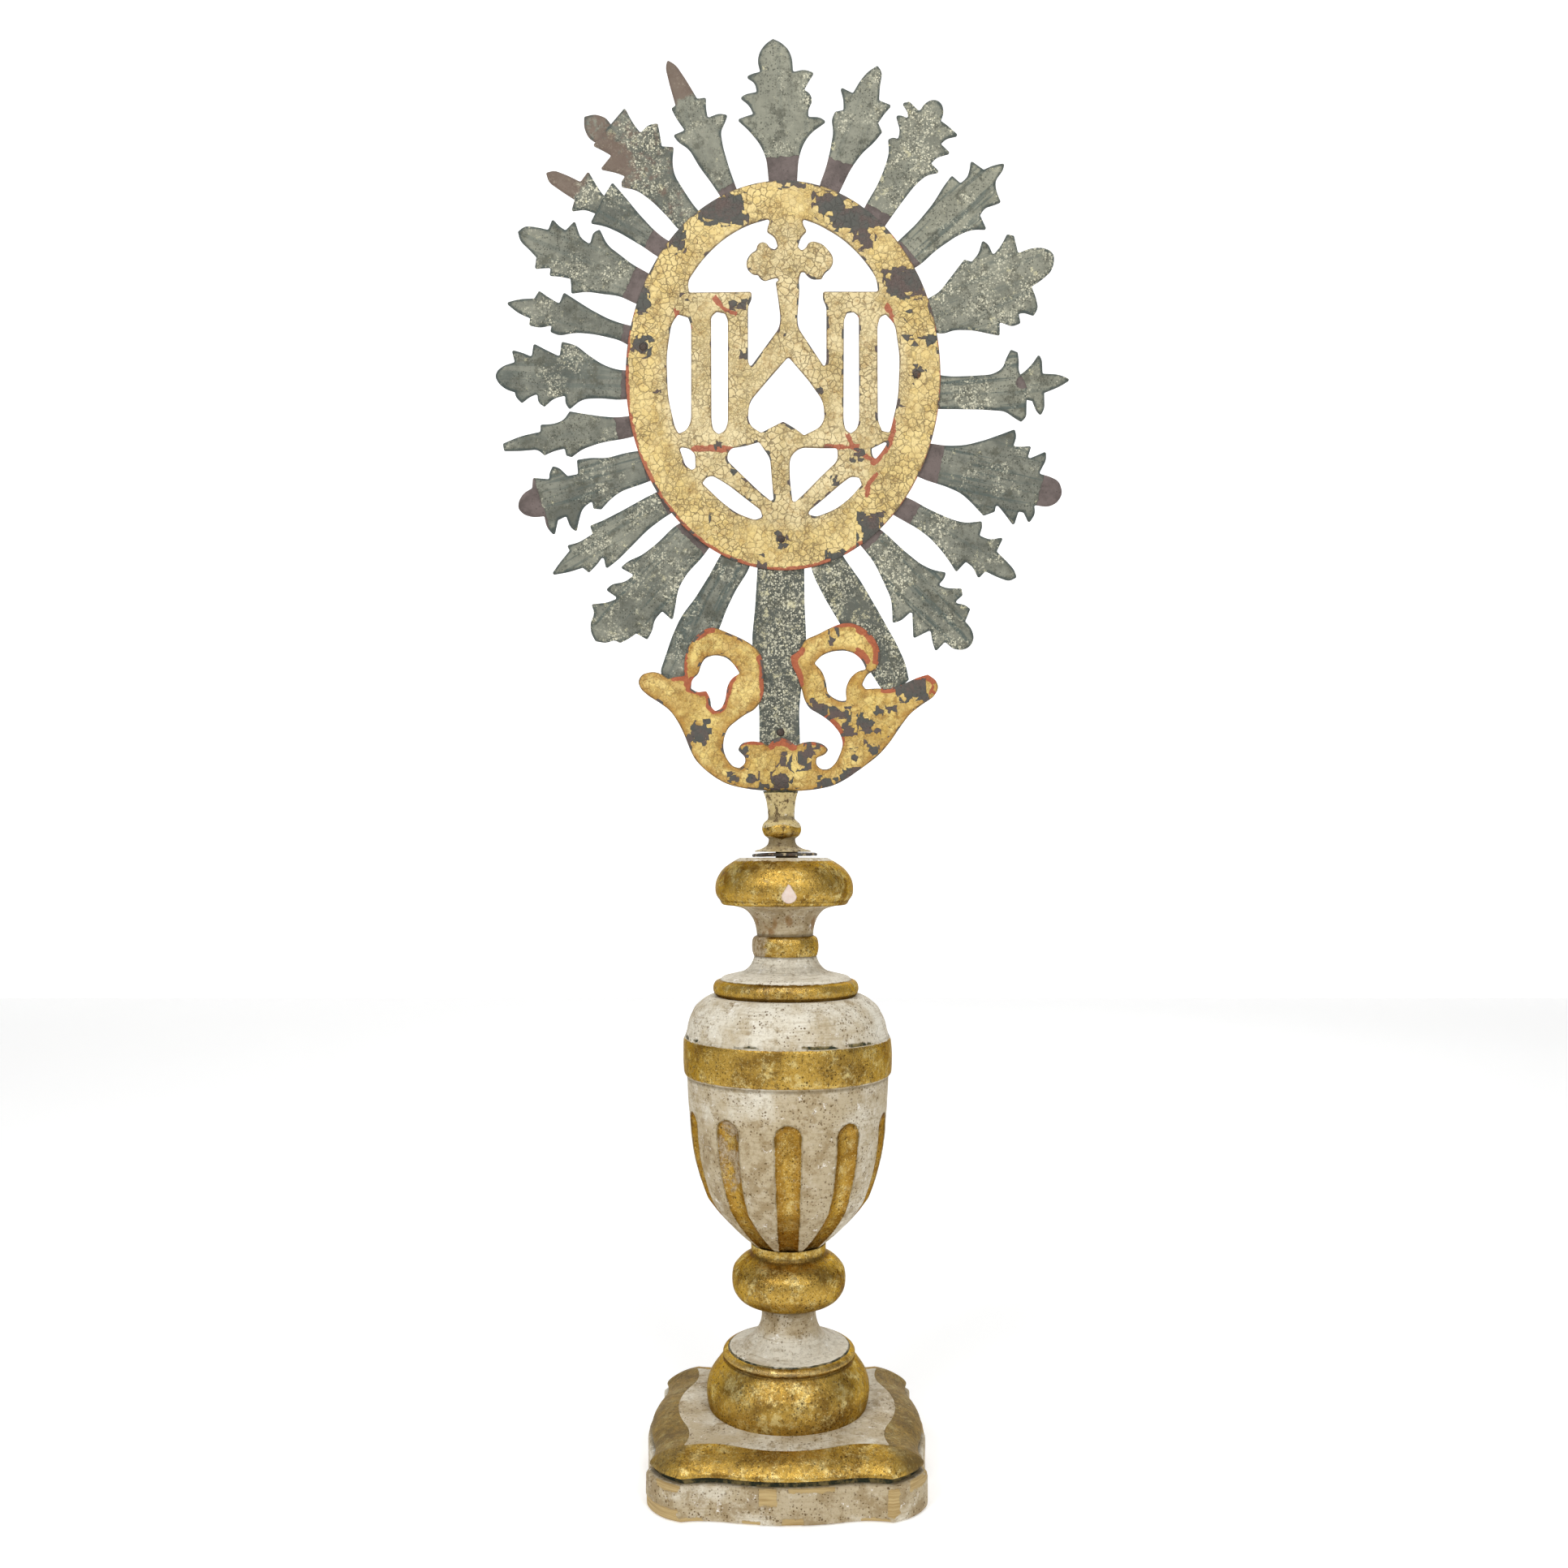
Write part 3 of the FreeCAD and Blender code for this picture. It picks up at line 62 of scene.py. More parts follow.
class Paint:
    """One node material under construction; lengths in its texture space are metres."""

    def __init__(self, name, *fray):
        self.material = bpy.data.materials.new(name)
        self.material.use_nodes = True
        self.tree = self.material.node_tree
        self.tree.nodes.clear()
        self.shader = self.node("ShaderNodeBsdfPrincipled")
        output = self.node("ShaderNodeOutputMaterial")
        self.tree.links.new(self.shader.outputs["BSDF"], output.inputs["Surface"])
        self.place = self.node("ShaderNodeTexCoord").outputs["Object"]
        if fray:
            # noise of about -1 to 1 that makes the borders of worn places ragged
            self.ragged = self.times(self.add(self.noise(*fray), -0.5), 4.0)

    def node(self, kind, inputs=None, **settings):
        """New node with settings, and links or values for its inputs."""
        made = self.tree.nodes.new(kind)
        for key, value in settings.items():
            setattr(made, key, value)
        for key, value in (inputs or {}).items():
            self.put(made.inputs[key], value)
        return made

    def put(self, socket, value):
        """Link a socket or set its value; three numbers for a colour are an 8-bit one."""
        if isinstance(value, bpy.types.NodeSocket):
            self.tree.links.new(value, socket)
        elif socket.type == "RGBA" and len(value) == 3:
            socket.default_value = srgb(*value)
        else:
            socket.default_value = value

    def maths(self, operation, first, second):
        return self.node("ShaderNodeMath", {0: first, 1: second}, operation=operation).outputs[0]

    def vector(self, operation, first, second):
        key = "Scale" if operation == "SCALE" else 1
        return self.node("ShaderNodeVectorMath", {0: first, key: second}, operation=operation).outputs[0]

    def add(self, first, second):
        return self.maths("ADD", first, second)

    def times(self, first, second):
        return self.maths("MULTIPLY", first, second)

    def less(self, value):
        """1 less a value."""
        return self.maths("SUBTRACT", 1.0, value)

    def most(self, first, second):
        return self.maths("MAXIMUM", first, second)

    def total(self, *parts):
        """Sum of values, each with its weight."""
        made = self.times(*parts[0])
        for part in parts[1:]:
            made = self.add(made, self.times(*part))
        return made

    def blend(self, share, first, second):
        """Number blend."""
        return self.total((self.less(share), first), (share, second))

    def band(self, value, low, high):
        """0 below low and 1 above high, eased between; low above high turns it round."""
        ends = (high, low, 1.0, 0.0) if low > high else (low, high, 0.0, 1.0)
        inputs = dict(zip(("From Min", "From Max", "To Min", "To Max"), ends), Value=value)
        return self.node("ShaderNodeMapRange", inputs, interpolation_type="SMOOTHSTEP").outputs["Result"]

    def attribute(self, name):
        made = self.node("ShaderNodeAttribute", attribute_name=name, attribute_type="GEOMETRY")
        return made.outputs["Fac"]

    def torn(self, name, amount, low, high):
        """Band of a vertex value with a ragged border."""
        return self.band(self.add(self.attribute(name), self.times(self.ragged, amount)), low, high)

    def wander(self, scale, amount):
        """The place, pushed about by a noise."""
        field = self.node("ShaderNodeTexNoise", {"Vector": self.place, "Scale": scale, "Detail": 3})
        middle = self.vector("SUBTRACT", field.outputs["Color"], (0.5, 0.5, 0.5))
        return self.vector("ADD", self.place, self.vector("SCALE", middle, amount))

    def noise(self, scale, detail=4.0, roughness=0.55, vector=None):
        inputs = {"Vector": vector or self.place, "Scale": scale, "Detail": detail, "Roughness": roughness}
        return self.node("ShaderNodeTexNoise", inputs).outputs["Fac"]

    def grain(self, detail, roughness, *stretch):
        """Noise drawn out along the piece."""
        return self.noise(1, detail, roughness, self.vector("MULTIPLY", self.place, stretch))

    def cloud(self, low, high, *kind):
        """Band of a noise of the given scale, detail and roughness."""
        return self.band(self.noise(*kind), low, high)

    def cells(self, scale, vector, feature="F1"):
        return self.node("ShaderNodeTexVoronoi", {"Vector": vector, "Scale": scale}, feature=feature).outputs

    def split(self, colour):
        return self.node("ShaderNodeSeparateColor", {"Color": colour}).outputs

    def dots(self, size, share, radius=0.33):
        """Round specks about one size apart; share of them is kept."""
        made = self.cells(1 / size, self.wander(900, 0.0006))
        chosen = self.band(self.split(made["Color"])["Red"], share + 0.04, share - 0.04)
        return self.times(self.band(made["Distance"], radius + 0.1, radius - 0.1), chosen)

    def mix(self, share, first, second):
        made = self.node("ShaderNodeMix", {"Factor": share}, data_type="RGBA")
        colours = [socket for socket in made.inputs if socket.type == "RGBA"]
        self.put(colours[0], first)
        self.put(colours[1], second)
        return next(socket for socket in made.outputs if socket.type == "RGBA")

    def lay(self, base, share, strength, colour):
        """Another colour laid over the base in places."""
        return self.mix(self.times(share, strength), base, colour)

    def finish(self, colour, roughness, metallic, height, distance, strength=1.0):
        bump = self.node("ShaderNodeBump", {"Distance": distance, "Strength": strength, "Height": height})
        looks = {"Base Color": colour, "Roughness": roughness, "Metallic": metallic,
                 "Normal": bump.outputs["Normal"]}
        for key, value in looks.items():
            self.put(self.shader.inputs[key], value)
        return self.material


def wood_finish():
    """Cream distemper and rubbed gold leaf on turned wood; vertex values say which is where. It also paints
    shade in hollows, grooves and gaps and on the plinth's sides, and painted glints on the gold.
    """
    p = Paint("worn_cream_and_gilt_wood", 330, 5, 0.65)
    p.shader.inputs["Specular Tint"].default_value = (0.42, 0.33, 0.18, 1)
    gold = p.torn("gold", 0.38, -0.2, 0.2)
    # cream distemper: pinkish white, olive smudges, brown specks and white scuffs
    soil = p.attribute("soil")
    blotch = p.add(p.noise(34, 6, 0.7), p.times(soil, 0.14))
    cream = p.mix(p.band(blotch, 0.36, 0.62), (223, 217, 201), (187, 172, 143))
    lines = p.grain(4, 0.6, 55, 55, 1150)
    cream = p.lay(cream, p.band(lines, 0.5, 0.7), 0.5, (160, 142, 110))
    smudge = p.add(p.noise(120, 8, 0.78), p.times(soil, 0.06))
    cream = p.lay(cream, p.band(smudge, 0.5, 0.64), 0.66, (140, 118, 80))
    cream = p.lay(cream, p.attribute("warm"), 0.8, (203, 184, 126))
    film = p.cloud(0.5, 0.62, 520, 7, 0.85)
    cream = p.lay(cream, film, 0.42, (134, 116, 86))
    specks = p.most(p.dots(0.0014, 0.5, 0.27), p.times(p.dots(0.0027, 0.36, 0.22), 0.95))
    patches = p.band(p.add(p.noise(60, 5), p.times(soil, 0.08)), 0.36, 0.58)
    cream = p.lay(cream, specks, patches, (98, 78, 52))
    cream = p.lay(cream, p.cloud(0.59, 0.66, 170, 8, 0.78), 0.9, (242, 239, 233))
    stain = p.torn("stain", 0.35, 0.1, 0.9)
    cream = p.lay(cream, stain, 0.75, (138, 102, 60))
    # gold leaf: ochre to brown, rubbed and speckled
    tone = p.noise(46, 8, 0.75)
    leaf = p.mix(p.band(tone, 0.38, 0.54), (138, 106, 46), (190, 154, 72))
    leaf = p.lay(leaf, p.cloud(0.5, 0.62, 100, 8, 0.8), 0.8, (230, 210, 144))
    rub = p.cloud(0.5, 0.6, 430, 8, 0.88)
    patchy = p.cloud(0.36, 0.58, 75, 6, 0.7)
    leaf = p.lay(leaf, rub, p.blend(patchy, 0.25, 0.85), (88, 68, 34))
    # deeper gold inside the flutes, strongest towards their sides as painted shade
    leaf = p.lay(leaf, p.attribute("rich"), 0.62, (142, 98, 22))
    # painted glints: bright pale-gold specks laid on the leaf as painted highlights
    painted_glints = p.cloud(0.57, 0.64, 760, 6, 0.85)
    leaf = p.lay(leaf, painted_glints, 0.75, (246, 228, 160))
    grit = p.most(p.dots(0.0012, 0.45, 0.3), p.dots(0.0024, 0.3, 0.24))
    leaf = p.lay(leaf, p.times(grit, p.cloud(0.36, 0.56, 60, 4)), 0.85, (74, 54, 26))
    # darker, duller gold on the plinth's sides: painted shade with some tarnish
    tarnish = p.torn("tarnish", 0.3, 0.1, 0.9)
    leaf = p.lay(leaf, tarnish, 0.68, (92, 78, 46))
    rubbed = p.times(p.add(p.noise(130, 6, 0.7), -0.5), 2.4)
    thin = p.band(p.add(p.attribute("worn"), rubbed), 0.35, 0.65)
    bare_leaf = p.mix(p.cloud(0.42, 0.58, 500, 6, 0.8), (188, 174, 150), (128, 106, 74))
    leaf = p.lay(leaf, thin, 0.85, bare_leaf)
    colour = p.mix(gold, cream, leaf)
    # painted shade with some grime darkens hollows, flute rims, the knop's lower rim and the slab beside the
    # moulding; edges rub down to the white ground
    hollow_shade_and_grime = p.times(p.torn("hollow", 0.22, 0.08, 0.7), 0.72)
    colour = p.mix(hollow_shade_and_grime, colour, p.mix(gold, (108, 94, 68), (86, 62, 26)))
    edge = p.band(p.total((p.attribute("hollow"), -1), (p.ragged, 0.5)), 0.5, 1.2)
    colour = p.lay(colour, edge, p.blend(gold, 0.5, 0.1), (232, 222, 196))
    # flaked places: raw wood, dark chips, a knocked-out loss; then dark, which is painted shade in the
    # plinth's groove, the gap at the foot and under the sunburst's plate, and real dark chips on the shoulder
    wood = p.mix(p.band(p.grain(5, 0.7, 40, 40, 900), 0.35, 0.65), (194, 170, 122), (164, 138, 92))
    raw = p.torn("raw", 1.0, -0.2, 0.2)
    colour = p.mix(raw, colour, wood)
    chips = p.times(p.attribute("chips"), p.cloud(0.55, 0.58, 220, 7, 0.75))
    colour = p.lay(colour, chips, 0.9, (84, 68, 50))
    loss = p.torn("loss", 0.25, -0.1, 0.5)
    colour = p.mix(loss, colour, p.mix(p.noise(420, 3), (236, 226, 218), (214, 186, 170)))
    # dark paints shade in grooves and gaps, and marks real chips on the shoulder
    dark = p.torn("dark", 0.28, 0.3, 0.75)
    black_green = p.mix(p.cloud(0.44, 0.6, 190, 7, 0.75), (46, 52, 42), (124, 110, 72))
    colour = p.mix(dark, colour, black_green)
    covered = p.times(p.times(p.less(raw), p.less(dark)), p.less(loss))
    shine = p.times(p.times(gold, covered), p.less(p.times(p.most(thin, tarnish), 0.6)))
    metallic = p.times(shine, p.blend(rub, 0.95, 0.4))
    leaf_roughness = p.add(p.add(0.1, p.times(p.noise(260, 6, 0.7), 0.34)), p.times(rub, 0.22))
    roughness = p.blend(shine, 0.74, leaf_roughness)
    height = p.total((p.noise(1300, 4, 0.7), 0.5), (p.noise(300, 6, 0.65), 0.8), (lines, 0.35),
                     (covered, 1.1), (p.times(p.noise(420, 5, 0.75), gold), 1.1))
    return p.finish(colour, roughness, metallic, height, 0.0004, 0.62)


def bare_back(p):
    """Colour of unpainted old tinplate."""
    rust = p.cloud(0.46, 0.64, 75, 7, 0.72)
    tin = p.mix(p.cloud(0.4, 0.62, 30, 5), (112, 106, 98), (84, 78, 72))
    tin = p.lay(tin, rust, 0.7, (104, 72, 52))
    return p.lay(tin, p.dots(0.003, 0.4, 0.25), 0.7, (58, 46, 40))


def gilt_sheet_finish():
    """Crackled pale gold over red ground on sheet, flaked to the dark metal in places."""
    p = Paint("crackled_gilt_sheet", 170, 6, 0.62)
    edge = p.attribute("edge")
    warm = p.attribute("warm")
    # two sizes of crackle: plates of about 3 mm, and finer cracks across them
    plate_scale, pushed = 290, p.wander(300, 0.0034)
    wide = p.cells(plate_scale, pushed, "DISTANCE_TO_EDGE")["Distance"]
    narrow = p.cells(520, p.wander(600, 0.0016), "DISTANCE_TO_EDGE")["Distance"]
    plates = p.split(p.cells(plate_scale, pushed)["Color"])
    base = p.mix(p.cloud(0.36, 0.66, 30, 6, 0.65), (220, 202, 154), (194, 171, 112))
    deeper = p.mix(p.cloud(0.4, 0.6, 60, 7, 0.75), (222, 196, 122), (206, 176, 102))
    base = p.mix(p.attribute("golden"), base, deeper)
    warmer = p.mix(p.cloud(0.42, 0.58, 48, 8, 0.78), (234, 206, 118), (192, 152, 60))
    base = p.lay(base, warm, 0.8, warmer)
    base = p.lay(base, plates["Blue"], p.blend(warm, 0.22, 0.1), (236, 224, 182))
    base = p.lay(base, p.cloud(0.5, 0.6, 150, 8, 0.82), p.blend(warm, 0.48, 0.8), (160, 122, 56))
    base = p.lay(base, p.cloud(0.52, 0.64, 640, 6, 0.85), 0.4, (142, 112, 62))
    base = p.lay(base, p.dots(0.0018, 0.4, 0.26), 0.6, (140, 104, 54))
    base = p.lay(base, p.times(p.torn("edge", 1.6, 4.2, 0.6), warm), 0.66, (168, 118, 42))
    crack = p.most(p.times(p.band(wide, 0.075, 0.02), p.blend(p.cloud(0.36, 0.6, 42, 4), 0.35, 0.95)),
                   p.times(p.band(narrow, 0.08, 0.02), p.times(p.cloud(0.42, 0.6, 60, 3), 0.6)))
    crack = p.times(crack, p.less(p.times(warm, 0.5)))
    colour = p.lay(base, crack, 0.74, (92, 72, 38))
    rim = p.torn("edge", 0.6, 0.8, 0.2)
    colour = p.lay(colour, rim, 0.75, (98, 76, 48))
    red = p.torn("red", 1.15, -0.15, 0.2)
    ground = p.mix(p.noise(260, 5), (182, 96, 62), (138, 66, 48))
    colour = p.lay(colour, red, 0.92, ground)
    # flakes follow the cells of the crackle: in given places, and small ones that start at edges
    angular = p.add(p.times(p.add(plates["Red"], -0.5), 5.2), p.times(p.ragged, 0.7))
    bare = p.band(p.add(p.attribute("bare"), angular), -0.05, 0.05)
    near_edge = p.add(plates["Green"], p.times(edge, -0.16))
    nibble = p.band(p.add(near_edge, p.times(p.ragged, 0.05)), 0.735, 0.745)
    bare = p.most(bare, p.times(nibble, p.cloud(0.4, 0.46, 30, 2)))
    metal = p.mix(p.cloud(0.42, 0.6, 60, 5, 0.7), (80, 80, 74), (96, 82, 76))
    metal = p.lay(metal, p.dots(0.0021, 0.3, 0.24), 0.5, (52, 46, 44))
    colour = p.mix(bare, colour, metal)
    behind = p.band(p.attribute("back"), 0.45, 0.55)
    colour = p.mix(behind, colour, bare_back(p))
    painted = p.times(p.less(bare), p.less(behind))
    metallic = p.blend(painted, 0.35, p.add(0.1, p.times(warm, 0.28)))
    roughness = p.blend(painted, 0.6, p.add(0.42, p.times(p.noise(220, 4), 0.2)))
    height = p.total((painted, 1.8), (crack, -1.2), (p.noise(700, 5, 0.7), 0.7),
                     (p.band(wide, 0.0, 0.35), 0.4))
    return p.finish(colour, roughness, metallic, height, 0.0003, 0.8)


def painted_sheet_finish():
    """Dull grey-green paint with cream and dark specks, blue-green outlines and bare roots."""
    p = Paint("speckled_green_sheet", 250, 5, 0.62)
    tone = p.attribute("tone")
    base = p.mix(p.cloud(0.38, 0.62, 38, 7, 0.72), (126, 127, 114), (78, 81, 73))
    base = p.lay(base, tone, 0.7, (160, 159, 138))
    base = p.lay(base, p.band(p.attribute("fleck"), 0.8, 1.4), 0.75, (58, 62, 56))
    place = {0: p.times(p.attribute("along"), 0.018), 1: p.times(p.attribute("across"), 0.34),
             2: p.times(tone, 9.0)}
    streak = p.noise(1, 4, 0.6, p.node("ShaderNodeCombineXYZ", place).outputs[0])
    base = p.lay(base, p.band(streak, 0.5, 0.62), p.attribute("streak"), (76, 86, 80))
    base = p.lay(base, p.cloud(0.5, 0.6, 110, 9, 0.8), 0.75, (76, 76, 62))
    outline = p.torn("edge", 0.8, 1.8, 0.4)
    base = p.lay(base, outline, 0.82, (50, 62, 60))
    thick = p.add(p.noise(45, 6, 0.75), p.times(p.attribute("fleck"), 0.09))
    flecks = p.most(p.dots(0.0011, 0.6, 0.38), p.times(p.dots(0.0021, 0.5, 0.32), 0.9))
    flecks = p.times(p.most(flecks, p.cloud(0.53, 0.58, 420, 8, 0.88)), p.band(thick, 0.52, 0.66))
    base = p.lay(base, flecks, 0.88, (220, 216, 190))
    chalk = p.band(p.add(p.noise(130, 9, 0.85), p.times(p.attribute("fleck"), 0.04)), 0.605, 0.65)
    base = p.lay(base, chalk, 0.75, (212, 205, 166))
    grains = p.times(p.most(p.dots(0.0013, 0.5, 0.32), p.cloud(0.54, 0.6, 330, 8, 0.88)),
                     p.cloud(0.38, 0.54, 56, 5))
    base = p.lay(base, grains, 0.8, (54, 56, 46))
    rust = p.torn("rust", 0.4, 0.35, 0.7)
    base = p.lay(base, rust, 0.8, p.mix(p.noise(130, 6), (118, 98, 84), (92, 72, 60)))
    bare = p.torn("bare", 0.9, -0.15, 0.15)
    metal = p.mix(p.cloud(0.4, 0.62, 70, 6, 0.7), (106, 94, 90), (84, 74, 70))
    metal = p.lay(metal, p.dots(0.0019, 0.3, 0.24), 0.5, (60, 52, 48))
    colour = p.mix(bare, base, metal)
    behind = p.band(p.attribute("back"), 0.45, 0.55)
    colour = p.mix(behind, colour, bare_back(p))
    painted = p.times(p.less(bare), p.less(behind))
    metallic = p.blend(painted, 0.35, 0.04)
    roughness = p.blend(painted, 0.58, 0.68)
    height = p.total((painted, 1.2), (p.noise(600, 6, 0.75), 1.0), (flecks, 0.35), (outline, -0.3))
    return p.finish(colour, roughness, metallic, height, 0.0003, 0.8)


def iron_finish(name, light, dark, rusty, flaked):
    """Old dark metal with rust; flaked adds leftovers of cream paint."""
    p = Paint(name)
    colour = p.mix(p.cloud(0.38, 0.64, 160, 6, 0.7), light, dark)
    rust = p.cloud(0.5, 0.66, 240, 7, 0.75)
    colour = p.lay(colour, rust, rusty, (122, 78, 48))
    paint = p.times(p.cloud(0.56, 0.6, 300, 5), flaked)
    colour = p.mix(paint, colour, (196, 178, 142))
    colour = p.lay(colour, p.dots(0.0016, 0.35, 0.28), 0.6, (34, 28, 25))
    height = p.total((p.noise(500, 6, 0.75), 1.0), (rust, 0.5))
    roughness = p.add(0.46, p.times(rust, 0.34))
    metallic = p.times(p.less(p.most(rust, paint)), 0.6)
    return p.finish(colour, roughness, metallic, height, 0.0004, 0.8)


WOOD = wood_finish()
GILT_SHEET = gilt_sheet_finish()
PAINTED_SHEET = painted_sheet_finish()
IRON = iron_finish("rusted_iron", (84, 74, 66), (58, 50, 46), 0.8, 0.0)
TIN = iron_finish("dull_tin", (92, 86, 78), (50, 46, 42), 0.45, 0.8)


# ---------------------------------------------------------------- meshes
def make_piece(node, verts, faces, material, wears=(), sharp=40):
    """Mesh of points in millimetres that stands for one CAD node and moves with its body.

    wears holds a dictionary of numbers for each vertex, which the material reads by name.
    """
    mesh = bpy.data.meshes.new(node + "_look")
    mesh.from_pydata([(x * MM, y * MM, z * MM) for x, y, z in verts], [], faces)
    for key in sorted({key for wear in wears for key in wear}):
        numbers = [float(wear.get(key, 0.0)) for wear in wears]
        mesh.attributes.new(key, "FLOAT", "POINT").data.foreach_set("value", numbers)
    mesh.polygons.foreach_set("use_smooth", [True] * len(mesh.polygons))
    mesh.update()
    mesh.set_sharp_from_angle(angle=math.radians(sharp))
    mesh.materials.append(material)
    piece = bpy.data.objects.new(node + "_look", mesh)
    bpy.context.scene.collection.objects.link(piece)
    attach(piece, BODY_OF[node])
    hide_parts(node)


def skin(rows, around, closed=False, first=0):
    """Faces over rows of points; closed joins the last row to the first, else both ends are capped."""
    faces = []
    for row in range(rows if closed else rows - 1):
        above = (row + 1) % rows
        for i in range(around):
            j = (i + 1) % around
            corners = (row * around + i, row * around + j, above * around + j, above * around + i)
            faces.append(tuple(first + corner for corner in corners))
    if not closed:
        last = first + (rows - 1) * around
        faces.append(tuple(reversed(range(first, first + around))))
        faces.append(tuple(range(last, last + around)))
    return faces


def arc(start, end, bow, count):
    """Points from start (left out) to end on an arc that bows out to the right of the way it runs."""
    chord = math.dist(start, end)
    along = ((end[0] - start[0]) / chord, (end[1] - start[1]) / chord)
    half = 2 * math.atan2(2 * bow, chord)
    points = []
    for i in range(1, count + 1):
        share = i / count
        reach = chord * (share if abs(half) < 1e-6 else math.sin(share * half) / math.sin(half))
        turn = half * (1 - share)
        ahead, aside = reach * math.cos(turn), reach * math.sin(turn)
        points.append((start[0] + along[0] * ahead + along[1] * aside,
                       start[1] + along[1] * ahead - along[0] * aside))
    return points


def drift(x, y, z, size, seed=0.0):
    """Smooth noise of -1 to 1 with features of the given size."""
    return noise.noise(Vector((x / size + seed, y / size - seed, z / size + 2.3 * seed)))


def clamp(value, low=0.0, high=1.0):
    return max(low, min(high, value))


def ease(value, low, high):
    share = clamp((value - low) / (high - low))
    return share * share * (3 - 2 * share)


# Turned profile: (radius, height, bow) stations of each section, in millimetres.
TURNED = {
    "foot_moulding": [(42.3, 29.5), (43.5, 37.6, 0.3), (38.8, 50.0, 1.3), (35.2, 54.2, 0.3), (34.2, 54.8),
                      (34.6, 55.4), (34.4, 58.8, 1.2), (33.2, 59.4)],
    "foot_spool": [(32.8, 59.4), (32.2, 60.2), (18.0, 67.0, -2.0), (14.4, 76.5, -0.8), (14.4, 80.6),
                   (15.2, 82.6, -0.1)],
    "lower_knob": [(17.4, 82.6), (24.4, 84.8, 0.2), (28.4, 88.6, 0.4), (30.2, 94.2, 0.4), (30.1, 99.4, 0.2),
                   (27.8, 104.2, 0.5), (23.4, 108.0, 0.3), (20.6, 109.6, -0.2), (20.0, 110.6),
                   (20.0, 115.2)],
    "urn_bowl": [(19.6, 115.2), (20.6, 116.0), (43.0, 140.0, 1.3), (52.2, 180.0, 1.9), (53.8, 205.4, 0.2),
                 (55.4, 206.8, 0.15), (55.4, 224.6, 0.35), (54.8, 225.6)],
    "urn_shoulder": [(54.6, 225.6), (53.2, 230.2, -0.1), (50.4, 238.4, 0.5), (46.2, 243.8, 0.7),
                     (40.6, 247.3, 0.5)],
    "lid": [(37.2, 247.3), (37.4, 255.2, 1.7), (34.8, 255.8), (33.6, 257.4, 0.3), (24.6, 259.5),
            (19.0, 263.2, -0.6), (16.7, 268.6, -0.3)],
    "neck_ring": [(16.9, 268.6), (17.1, 278.4, 0.9), (15.4, 279.2)],
    "knop_spool": [(15.0, 279.2), (16.2, 286.0, -0.2), (18.9, 291.0, -0.3), (23.6, 294.2, -0.5),
                   (31.4, 295.8, -0.2)],
    "knop": [(32.8, 295.8), (34.3, 298.0, 0.5), (34.8, 298.6), (36.9, 304.0, 0.7), (34.6, 312.2, 0.7),
             (29.6, 317.2, 0.5), (23.4, 320.8, 0.2)],
    "stem": [(15.3, 324.0), (14.6, 324.9, 0.1), (7.6, 328.0, -0.7), (6.9, 331.2), (8.5, 331.9),
             (8.7, 340.4, 2.0), (7.1, 341.3), (7.4, 347.8, -0.15), (9.4, 356.4, -0.35)],
}
# How far the stack leans to the right of its joint's axis, by height.
LEAN = [(29.0, 0.6), (60.0, 1.2), (115.0, 0.9), (215.0, 0.45), (255.0, -0.55), (275.0, -0.9), (310.0, -1.4),
        (323.0, -1.8), (326.0, -2.5), (357.0, -3.3)]
BORE = 6.05
FLUTES = 10
FLUTE_FOOT = 116.0
BAND_FOOT, BAND_TOP = 206.2, 225.3
# Values of wear: far outside a place, all cream, all gold or fully bare.
OUTSIDE, CREAM, FULL = -9.0, -4.0, 4.0
TENON = [(5.2, 280.8), (6.0, 281.6), (6.0, 323.9)]


def lean(height):
    for (low, first), (high, second) in zip(LEAN, LEAN[1:]):
        if height < high:
            return first + (second - first) * clamp((height - low) / (high - low))
    return LEAN[-1][1]


def profile(stations, step=0.75):
    points = [tuple(stations[0][:2])]
    for station in stations[1:]:
        bow = station[2] if len(station) > 2 else 0.0
        count = max(1, round(math.dist(points[-1], station[:2]) / step))
        points += arc(points[-1], station[:2], bow, count)
    return points


def soften(points, rounds):
    """Round off a profile's corners a little; its two ends stay."""
    for _ in range(rounds):
        inner = [tuple((a + 2 * b + c) / 4 for a, b, c in zip(before, here, after))
                 for before, here, after in zip(points, points[1:], points[2:])]
        points = [points[0]] + inner + [points[-1]]
    return points


def hollows(points, reach=3):
    """How deep each point lies in a hollow of the profile (above 0) or stands on an edge (below 0)."""
    depths = []
    for i, (radius, height) in enumerate(points):
        before, after = points[max(0, i - reach)], points[min(len(points) - 1, i + reach)]
        run = math.dist(before, after) or 1.0
        across = ((after[1] - before[1]) / run, -(after[0] - before[0]) / run)
        depths.append(((before[0] + after[0]) / 2 - radius) * across[0]
                      + ((before[1] + after[1]) / 2 - height) * across[1])
    return depths


PROFILES = {label: soften(profile(stations), 2) for label, stations in TURNED.items()}
WHOLE = [(label, point) for label, points in PROFILES.items() for point in points]
DEPTHS = {label: [] for label in PROFILES}
for (label, _), depth in zip(WHOLE, hollows([point for _, point in WHOLE])):
    DEPTHS[label].append(depth)


def top_of_flute(number):
    return 181.0 + 0.9 * math.sin(5.1 * number)


